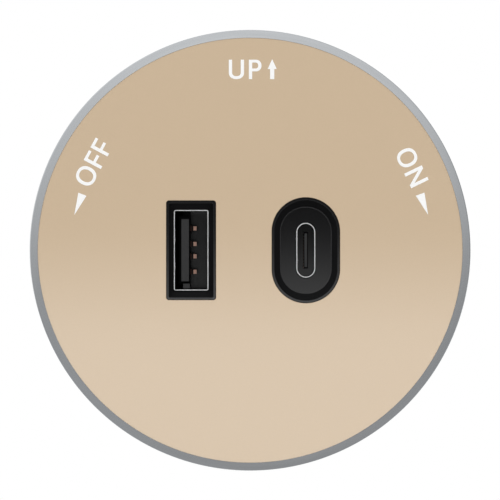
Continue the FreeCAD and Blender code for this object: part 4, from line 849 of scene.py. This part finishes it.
def usb_a_shell():
    """A folded steel tube with a rolled front edge and two windows in each long side."""
    front, end = shell_a_low.y, shell_a_high.y
    rear = end - PIN_REACH
    half_width = SHELL_A_HALF_WIDTH - SHELL_A_TRIM
    half_height = SHELL_A_HALF_HEIGHT - SHELL_A_TRIM
    window_low = half_height / 2 - WINDOW_WIDE
    stops = (-half_height / 2, -window_low, window_low, half_height / 2)
    window = front + WINDOW_BACK
    solid = Solid()

    def sheet_loops(insets):
        depths = (front, front + SHELL_LIP / 3, front + SHELL_LIP, window, window + WINDOW_LONG, rear)
        return [solid.loop(rounded(FRAME_A_X, half_width - inset, half_height - inset,
                                   max(SHELL_A_BEND - inset, SHELL_A_BEND / 3),
                                   SHELL_A_STEPS, stops), depth)
                for inset, depth in zip(insets, depths)]

    outer = sheet_loops((SHELL_LIP, SHELL_LIP / 3, 0, 0, 0, 0))
    inner = sheet_loops((SHELL_A_SHEET - SHELL_LIP, SHELL_A_SHEET - SHELL_LIP / 3, *[SHELL_A_SHEET] * 4))
    left = 2 * (SHELL_A_STEPS + 1)
    right = left + len(stops) + left
    solid.wall(outer, inner, [(3, first + place) for first in (left, right) for place in (0, 2)])
    legs(solid, FRAME_A_X, SHELL_A_HALF_WIDTH, SHELL_A_WALL, SHELL_A_HALF_HEIGHT / 2, rear, end)
    item = solid.stand_in("usb_a_shell_folded", "port_shell", "usb_a_shell")
    # The front lip is painted lighter as a highlight
    refinish(item, LIP_HIGHLIGHT, front - SHELL_LIP, front + SHELL_LIP)


def usb_a_insulator():
    """A base in the tube, with a tongue, a rib at each of its ends and a pocket for each contact."""
    rear = tongue_a_high.y
    base = rear - A_BASE
    middle = FRAME_A_X + (A_TONGUE_LEFT + A_TONGUE_RIGHT) / 2
    half_width = (A_TONGUE_RIGHT - A_TONGUE_LEFT) / 2
    half_height = A_TONGUE_HALF
    front = tongue_a_low.y
    solid = Solid()
    face = (middle + A_FACE_SHIFT, half_width - A_FACE_INSET, half_height - A_FACE_END, A_FACE_CORNER)
    section = (middle, half_width, half_height, A_TONGUE_CORNER)
    solid.loft([(*face, front), (*section, front + A_BEVEL_DEEP), (*section, base + TUCK)],
               A_TONGUE_ROUND, TONGUE_STEPS)
    inner_x = SHELL_A_HALF_WIDTH - SHELL_A_TRIM - SHELL_A_SHEET - PLATE_SEAM
    inner_z = SHELL_A_HALF_HEIGHT - SHELL_A_TRIM - SHELL_A_SHEET - PLATE_SEAM
    left = FRAME_A_X - inner_x
    solid.block((left, base, -inner_z), (FRAME_A_X + inner_x, rear, inner_z), SHELL_LIP)
    solid.block((left, base - A_STEP, -inner_z), (middle, base + TUCK, inner_z), SHELL_LIP)
    right = FRAME_A_X + A_TONGUE_RIGHT
    for low, high, setback in ((-A_RIB_END, -half_height + TUCK, A_LOW_RIB),
                               (half_height - TUCK, A_RIB_END, A_HIGH_RIB)):
        solid.block((right - A_RIB_WIDE, front + setback, low), (right, base + TUCK, high),
                    A_TONGUE_ROUND)
    for up in A_CONTACTS:
        pocket_half = A_CONTACT_HALF + A_POCKET_WALL
        solid.block((right - TUCK, front + A_POCKET_BACK, up - pocket_half),
                    (right + A_POCKET_REACH, base + TUCK, up + pocket_half), A_TONGUE_ROUND)
    item = solid.stand_in("usb_a_tongue", "port_tongue", "usb_a_insulator")
    # The base behind the tongue is painted darker as shade
    refinish(item, CAVITY_SHADE, base - TUCK / 2, 0)
    # The tongue's sides, the pockets, the step and the upper rib are painted near black as shade
    refinish(item, DEEP_SHADE, front + PLATE_SEAM, base - TUCK, (-DISC_RADIUS, -half_height))


def usb_a_contacts():
    """Four bent strips on the tongue, each with a nose that a plug presses on and a root painted dark as
    shade.
    """
    face = FRAME_A_X + A_TONGUE_RIGHT
    front = tongue_a_low.y
    end = contact_a_high.y - front
    path = [*A_NOSE_OUTSIDE, (A_STRIP, end), (0, end), *A_NOSE_INSIDE]
    outline = [(face + point.x, front + point.y) for point in soften(path, A_NOSE_ROUND)]
    solid = Solid()
    for up in A_CONTACTS:
        solid.strip(outline, up - A_CONTACT_HALF, up + A_CONTACT_HALF)
        solid.block((face + A_ROOT_LEFT, front + A_POCKET_BACK - A_ROOT_THICK, up - A_ROOT_HALF),
                    (face + A_ROOT_RIGHT, front + A_POCKET_BACK + A_ROOT_THICK, up + A_ROOT_HALF))
    item = solid.stand_in("usb_a_contact_strips", "port_contact", "usb_a_contacts")
    # The roots are painted dark as shade
    refinish(item, SHADED_COPPER, front, front + A_POCKET_BACK + 2 * A_ROOT_THICK)


def usb_c_shell():
    """A drawn steel tube with a rolled front edge, and two pairs of legs."""
    front, rear = shell_c_low.y, SHELL_C_REAR
    outer = [size - SHELL_C_TRIM
             for size in (SHELL_C_HALF_WIDTH, SHELL_C_HALF_HEIGHT, SHELL_C_HALF_WIDTH)]
    inner = [size - SHELL_C_SHEET for size in outer]
    path = [(*inner, rear), (*inner, front), (*outer, front), (*outer, rear)]
    solid = Solid()
    loops = [solid.loop(rounded(FRAME_C_X, *point[:3], OVAL_STEPS), point[3])
             for point in soften(path, SHELL_LIP)]
    solid.band(loops, closed=True)
    legs(solid, FRAME_C_X, SHELL_C_HALF_WIDTH, SHELL_C_WALL, SHELL_C_HALF_HEIGHT / 2, rear,
         shell_c_high.y)
    item = solid.stand_in("usb_c_shell_drawn", "port_shell", "usb_c_shell")
    # The front lip is painted lighter as a highlight
    refinish(item, LIP_HIGHLIGHT, front - SHELL_LIP, front + SHELL_LIP)


def usb_c_insulator():
    """A base that fills the rear of the tube, with a flat tongue."""
    front, rear = tongue_c_low.y, tongue_c_high.y
    base = SHELL_C_REAR - C_BASE
    half_width = SHELL_C_HALF_WIDTH - SHELL_C_WALL - C_BASE_GAP
    half_height = SHELL_C_HALF_HEIGHT - SHELL_C_WALL - C_BASE_GAP
    face = (FRAME_C_X, C_TONGUE_HALF - C_FACE_INSET, C_TONGUE_END - C_FACE_END, C_FACE_CORNER)
    section = (FRAME_C_X, C_TONGUE_HALF, C_TONGUE_END, C_TONGUE_CORNER)
    block = (FRAME_C_X, half_width, half_height, half_width)
    solid = Solid()
    solid.loft([(*face, front), (*section, front + C_BEVEL_DEEP), (*section, base + TUCK)],
               C_TONGUE_ROUND, TONGUE_STEPS)
    solid.loft([(*block, base), (*block, SHELL_C_REAR)], 0.0, BASE_STEPS)
    solid.block((FRAME_C_X - half_width, SHELL_C_REAR, -half_height),
                (FRAME_C_X + half_width, rear, half_height), C_BASE_EDGE)
    item = solid.stand_in("usb_c_tongue", "port_tongue", "usb_c_insulator")
    # The base behind the tongue is painted darker as shade
    refinish(item, GLOSSY_RECESS_AND_SHADE, base - TUCK / 2, 0)
    # The tongue's sides are painted near black as shade
    refinish(item, DEEP_SHADE, front + PLATE_SEAM, base - TUCK)


def usb_c_contacts():
    """Two rows of strips let into the faces of the tongue."""
    front = tongue_c_low.y + C_STRIP_BACK
    rear = SHELL_C_REAR - C_BASE + TUCK
    solid = Solid()
    for side in (1, -1):
        across = FRAME_C_X + side * C_TONGUE_HALF
        for index in range(C_STRIPS):
            up = (index - (C_STRIPS - 1) / 2) * C_PITCH
            solid.block((across - C_STRIP, front, up - C_STRIP_HALF),
                        (across + C_STRIP, rear, up + C_STRIP_HALF), C_STRIP / 2)
    solid.stand_in("usb_c_contact_strips", "port_contact", "usb_c_contacts")


# Rear of the socket


def recess_outline(points, at):
    """Points of a screw recess about its middle, with rounded corners, as X and Z."""
    return [(at[0] + point.x, at[1] + point.y) for point in soften(points, RECESS_ROUND)]


def cross(reach, arm, at):
    """The outline of a plus sign."""
    points = []
    for quarter in range(4):
        spin = Matrix.Rotation(math.pi / 2 * quarter, 2)
        points += [spin @ Vector(corner) for corner in ((reach, -arm), (reach, arm), (arm, arm))]
    return recess_outline(points, at)


def screw(solid, at, tip, shank, head, cuts):
    """A screw that points to the front, with a helical thread.

    head is its profile of radius and depth from the end of the thread to the top. cuts are the
    outlines of the recess for the driver with their depths, from the top down.
    """
    loops = [solid.loop(ring_of(shank * THREAD_TIP, SCREW_TURN, at), tip)]
    for row in range(1, int((head[0][1] - tip) / PITCH * THREAD_STEPS)):
        points = []
        for index, (across, up) in enumerate(ring_of(1, SCREW_TURN)):
            phase = (row / THREAD_STEPS + index / SCREW_TURN) % 1
            radius = shank - THREAD_DEEP * abs(2 * phase - 1)
            points.append((at[0] + radius * across, at[1] + radius * up))
        loops.append(solid.loop(points, tip + row * PITCH / THREAD_STEPS))
    loops += [solid.loop(ring_of(radius, SCREW_TURN, at), depth)
              for radius, depth in soften(head, SCREW_EDGE, closed=False)]
    hollow = [solid.loop(outline, depth) for outline, depth in cuts]
    solid.band(loops)
    solid.band(hollow)
    solid.fill(loops[0])
    solid.fill(loops[-1], hollow[0])
    solid.fill(hollow[-1])


def cover_screws():
    """Four screws with domed heads and tapered cross recesses."""
    low, high = extent("cover_screws")
    top = high.y
    seat = top - COVER_HEAD_HIGH
    head = [(COVER_SHANK, seat), (COVER_HEAD, seat), (COVER_HEAD, top - HEAD_FALL),
            (COVER_HEAD * HEAD_FLAT, top)]
    solid = Solid()
    for across in (low.x + COVER_HEAD, high.x - COVER_HEAD):
        for up in (low.z + COVER_HEAD, high.z - COVER_HEAD):
            cuts = [(cross(CROSS_REACH, CROSS_ARM, (across, up)), top),
                    (cross(CROSS_REACH * CROSS_TAPER, CROSS_ARM / 2, (across, up)), top - CROSS_DEEP)]
            screw(solid, (across, up), low.y, COVER_SHANK, head, cuts)
    solid.stand_in("cover_screws_threaded", "screw_steel", "cover_screws")


def cap_screws():
    """Two countersunk screws with slots."""
    low, high = extent("cap_screws")
    top = high.y
    head = [(CAP_SHANK, top - CAP_HEAD + CAP_SHANK), (CAP_HEAD, top - CAP_EDGE),
            (CAP_HEAD - CAP_EDGE, top)]
    solid = Solid()
    for up in (low.z + CAP_HEAD, high.z - CAP_HEAD):
        outline = recess_outline(SLOT, (0, up))
        screw(solid, (0, up), low.y, CAP_SHANK, head, [(outline, top), (outline, top - SLOT_DEEP)])
    solid.stand_in("cap_screws_threaded", "screw_steel", "cap_screws")


# Marks


def curve(centre, half_width, half_height, start, end, steps, power):
    """Points of part of an oval from one angle to another. A power over 2 makes it squarer."""
    points = []
    for step in range(steps + 1):
        turn = math.radians(start + (end - start) * step / steps)
        across, up = math.cos(turn), math.sin(turn)
        points.append((centre[0] + half_width * math.copysign(abs(across) ** (2 / power), across),
                       centre[1] + half_height * math.copysign(abs(up) ** (2 / power), up)))
    return points


def letter_o(left, width):
    """An oval with thicker sides than top and bottom."""
    half, high = width / 2, TOP + OVERSHOOT / 2
    return [curve((left + half, 0), half - side, high - end, 0, 360, LETTER_STEPS, OVAL_POWER)[:-1]
            for side, end in ((0, 0), (STEM, BAR))]


def letter_f(left):
    middle = TOP - F_MIDDLE
    right = left + F_WIDTH
    return [[(left, -TOP), (left + STEM, -TOP), (left + STEM, middle - BAR),
             (right - F_SHORT, middle - BAR), (right - F_SHORT, middle), (left + STEM, middle),
             (left + STEM, TOP - BAR), (right, TOP - BAR), (right, TOP), (left, TOP)]]


def letter_n(left):
    right = left + N_WIDTH
    cut = STEM * N_SLANT
    return [[(left, -TOP), (left + STEM, -TOP), (left + STEM, TOP - cut), (right - STEM, -TOP),
             (right, -TOP), (right, TOP), (right - STEM, TOP), (right - STEM, -TOP + cut),
             (left + STEM, TOP), (left, TOP)]]


def letter_u(left):
    half = U_WIDTH / 2
    middle = left + half
    bowl = -TOP + U_BOWL
    outer = curve((middle, bowl), half, U_BOWL, 180, 360, BOWL_STEPS, U_POWER)
    inner = curve((middle, bowl), half - STEM, U_BOWL - BAR, 360, 180, BOWL_STEPS, U_POWER)
    return [[(left, TOP), *outer, (left + U_WIDTH, TOP), (left + U_WIDTH - STEM, TOP), *inner,
             (left + STEM, TOP)]]


def letter_p(left):
    half = P_BOWL / 2
    centre = (left + P_WIDTH - half, TOP - half)
    outer = curve(centre, half, half, -90, 90, BOWL_STEPS, P_POWER)
    inner = curve(centre, half - STEM, half - BAR, -90, 90, BOWL_STEPS, P_POWER)
    return [[(left, -TOP), (left + STEM, -TOP), (left + STEM, TOP - P_BOWL), *outer, (left, TOP)],
            [(left + STEM, TOP - P_BOWL + BAR), *inner, (left + STEM, TOP - BAR)]]


def arrow(left):
    top = TOP + ARROW_RISE
    middle = left + ARROW_WIDTH / 2
    base = top - ARROW_HEAD
    low_side, high_side = middle - ARROW_SHAFT / 2, middle + ARROW_SHAFT / 2
    return [[(low_side, -TOP), (high_side, -TOP), (high_side, base), (left + ARROW_WIDTH, base),
             (middle, top), (left, base), (low_side, base)]]


def mark(name, shapes, turn=0.0, out=0.0):
    """Prints shapes on the plate, moved outwards and then turned about the axis."""
    spin = Matrix.Rotation(math.radians(turn), 2)
    shift = Vector((0, out))
    solid = Solid()
    for outlines in shapes:
        levels = []
        for depth in (PLATE_FRONT - INK_HEIGHT, PLATE_FRONT):
            levels.append([solid.loop([spin @ (Vector(point) + shift) for point in outline], depth)
                           for outline in outlines])
        for first, second in zip(*levels):
            solid.join(first, second)
        solid.fill(*levels[0])
        solid.fill(*levels[1])
    solid.piece(name, WHITE_INK.material)


def marks():
    mark("mark_up", [form(left) for form, left in zip((letter_u, letter_p, arrow), UP_STARTS)],
         out=UP_OUT)
    mark("mark_off", [letter_o(OFF_STARTS[0], OFF_O_WIDTH), *map(letter_f, OFF_STARTS[1:])], OFF_TURN,
         OFF_OUT)
    mark("mark_on", [letter_o(ON_STARTS[0], ON_O_WIDTH), letter_n(ON_STARTS[1])], ON_TURN, ON_OUT)
    mark("off_pointer", [[OFF_POINTER]])
    mark("on_pointer", [[ON_POINTER]])


# Stage


def emission(name, strength):
    """A material that only gives light. strength adds nodes that work on the place in the scene."""
    material = bpy.data.materials.new(name)
    material.use_nodes = True
    tree = material.node_tree
    tree.nodes.clear()
    split = add(tree, "SeparateXYZ", add(tree, "TexCoord").outputs["Object"])
    light = add(tree, "Emission", Strength=strength(tree, *split.outputs))
    add(tree, "OutputMaterial", light.outputs[0])
    return material


def shown_rays(tree):
    """One for rays from the camera, from gloss and through glass, which show the background."""
    rays = add(tree, "LightPath").outputs
    total = rays["Is Camera Ray"]
    for name in ("Is Glossy Ray", "Is Transmission Ray"):
        total = add(tree, "Math", total, rays[name], operation="MAXIMUM").outputs[0]
    return total


def world():
    """White to the camera and in reflections, and an even soft light on the part."""
    item = bpy.data.worlds.new("studio")
    bpy.context.scene.world = item
    item.use_nodes = True
    tree = item.node_tree
    tree.nodes.clear()
    soft, white = (add(tree, "Background", (1, 1, 1, 1), level).outputs[0] for level in (ROOM_LEVEL, 1))
    add(tree, "OutputWorld", add(tree, "MixShader", shown_rays(tree), soft, white).outputs[0])


def stage(data, material, seen=False):
    """A piece of the stage. Only reflections show it unless it is seen."""
    data.materials.append(material)
    item = put(data)
    item.visible_camera = seen
    item.visible_diffuse = seen
    item.visible_shadow = seen
    item.visible_transmission = seen


def sheet(name, low, high, material, seen=False):
    """A level or upright sheet between two corners in metres."""
    data = bpy.data.meshes.new(name)
    data.from_pydata([low, (high[0], *low[1:]), high, (low[0], *high[1:])], [], [(0, 1, 2, 3)])
    stage(data, material, seen)


def tent():
    """A soft tent about the front of the socket, brighter high up and at the upper left.

    It is dark where the camera stands.
    """
    def strength(tree, *place):
        def node(kind, first, second):
            return add(tree, "Math", first, second, operation=kind).outputs[0]

        side, ahead, up = (node("DIVIDE", value, TENT_RADIUS) for value in place)
        high = node("SUBTRACT", up, node("MULTIPLY", side, TENT_LEAN))
        front = map_range(tree, high, *TENT_HEIGHTS, *TENT_LIGHTS)
        edge = node("ADD", node("MULTIPLY", node("SUBTRACT", up, side), TENT_EDGE_CHANGE), TENT_EDGE)
        level = map_range(tree, ahead, *TENT_TURN, front, edge, interpolation_type="SMOOTHSTEP")
        dark = map_range(tree, ahead, *CAMERA_SHADE_TURN, CAMERA_SHADE, 1,
                         interpolation_type="SMOOTHSTEP")
        return node("MULTIPLY", level, dark)

    solid = Solid()
    radius = TENT_RADIUS / MM
    turns = [math.radians(TENT_END * step / TENT_STEPS) for step in range(TENT_STEPS + 1)]
    solid.band([solid.loop(ring_of(radius * math.sin(turn), TENT_TURNS), -radius * math.cos(turn))
                for turn in turns])
    stage(solid.data("tent"), emission("tent_light", strength))


def ground_cloth():
    """A dim cloth over the ground in front."""
    def strength(tree, side, ahead, up):
        return map_range(tree, side, -CLOTH_SPAN, CLOTH_SPAN, CLOTH_LEFT, CLOTH_RIGHT)

    half = TENT_RADIUS
    level = FLOOR_LEVEL + CLOTH_LIFT
    sheet("ground_cloth", (-half, -half, level), (half, CLOTH_END, level),
          emission("ground_cloth_light", strength))


def reflector():
    """A card behind the camera that the lower half of the lacquered face mirrors.

    Its light rises from the top edge down, over the height that the soft edge across the face has
    in the mirror.
    """
    away = (FRONT - CAMERA_AWAY - REFLECTOR_BEHIND) * MM
    spread = 1 + (CAMERA_AWAY + REFLECTOR_BEHIND) / CAMERA_AWAY
    top = FADE_TOP * spread * MM
    half = REFLECTOR_HALF * MM

    def strength(tree, side, ahead, up):
        return map_range(tree, up, top, FADE_END * spread * MM, REFLECTOR_DIM, REFLECTOR_LIGHT)

    sheet("reflector", (-half, away, top - REFLECTOR_HIGH * MM), (half, away, top),
          emission("reflector_light", strength))


def lamp(name, place, size, power, glossy):
    """A soft square lamp that points at the socket."""
    data = bpy.data.lights.new(name, "AREA")
    data.shape = "SQUARE"
    data.size = size
    data.energy = power
    item = put(data)
    item.location = place
    item.rotation_euler = (-Vector(place)).to_track_quat("-Z", "Y").to_euler()
    item.visible_camera = False
    item.visible_glossy = glossy


def floor():
    """Pale ground that shows as white and keeps the shadow."""
    ground = Finish("pale_floor", [FLOOR_WHITE] * 3, Roughness=FLOOR_ROUGH, Specular_IOR_Level=0.0)
    tree = ground.tree
    glow = add(tree, "Emission", (*[FLOOR_GLOW] * 3, 1), shown_rays(tree))
    both = add(tree, "AddShader", ground.shader.outputs[0], glow.outputs[0])
    tree.links.new(both.outputs[0], tree.nodes["Material Output"].inputs[0])
    half = FLOOR_HALF
    sheet("floor", (-half, -half, FLOOR_LEVEL), (half, half, FLOOR_LEVEL), ground.material, seen=True)


def camera():
    """Looks along the axis of the disc from the front."""
    data = bpy.data.cameras.new("front_camera")
    data.sensor_width = SENSOR
    data.lens = SENSOR * CAMERA_AWAY / VIEW_WIDTH
    data.clip_start = CLIP_START
    data.clip_end = CLIP_END
    item = put(data)
    item.location = (VIEW_ACROSS * MM, (FRONT - CAMERA_AWAY) * MM, VIEW_UP * MM)
    item.rotation_euler = (math.pi / 2, 0, 0)
    bpy.context.scene.camera = item


# The frame's own nodes


def dress_nodes():
    """Gives each node of the frame the finish of its slot and soft edges."""
    for part in frame["record"]["subparts"]:
        item = nodes[part["node"]]
        item.data.materials.clear()
        item.data.materials.append(FINISHES[part["material_slot"]])
        item.data.shade_smooth()
        weld = item.modifiers.new("weld", "WELD")
        weld.merge_threshold = NEAR
        flat = item.modifiers.new("flat", "DECIMATE")
        flat.decimate_type = "DISSOLVE"
        flat.angle_limit = NODE_FLAT_TURN
        edge = item.modifiers.new("edge", "BEVEL")
        edge.width = min(NODE_EDGE, NODE_EDGE_SHARE * min(item.dimensions) / MM) * MM
        edge.segments = NODE_EDGE_STEPS
        edge.limit_method = "ANGLE"
        edge.angle_limit = NODE_EDGE_TURN
        even = item.modifiers.new("even", "WEIGHTED_NORMAL")
        even.weight = FACE_WEIGHT


camera()
world()
tent()
ground_cloth()
reflector()
for lamp_name, lamp_values in LAMPS.items():
    lamp(lamp_name, *lamp_values)
floor()
dress_nodes()
bezel_ring()
face_plate()
usb_a_surround()
usb_a_shell()
usb_a_insulator()
usb_a_contacts()
usb_c_surround()
usb_c_shell()
usb_c_insulator()
usb_c_contacts()
cover_screws()
cap_screws()
marks()

bpy.context.scene.view_settings.view_transform = "Standard"
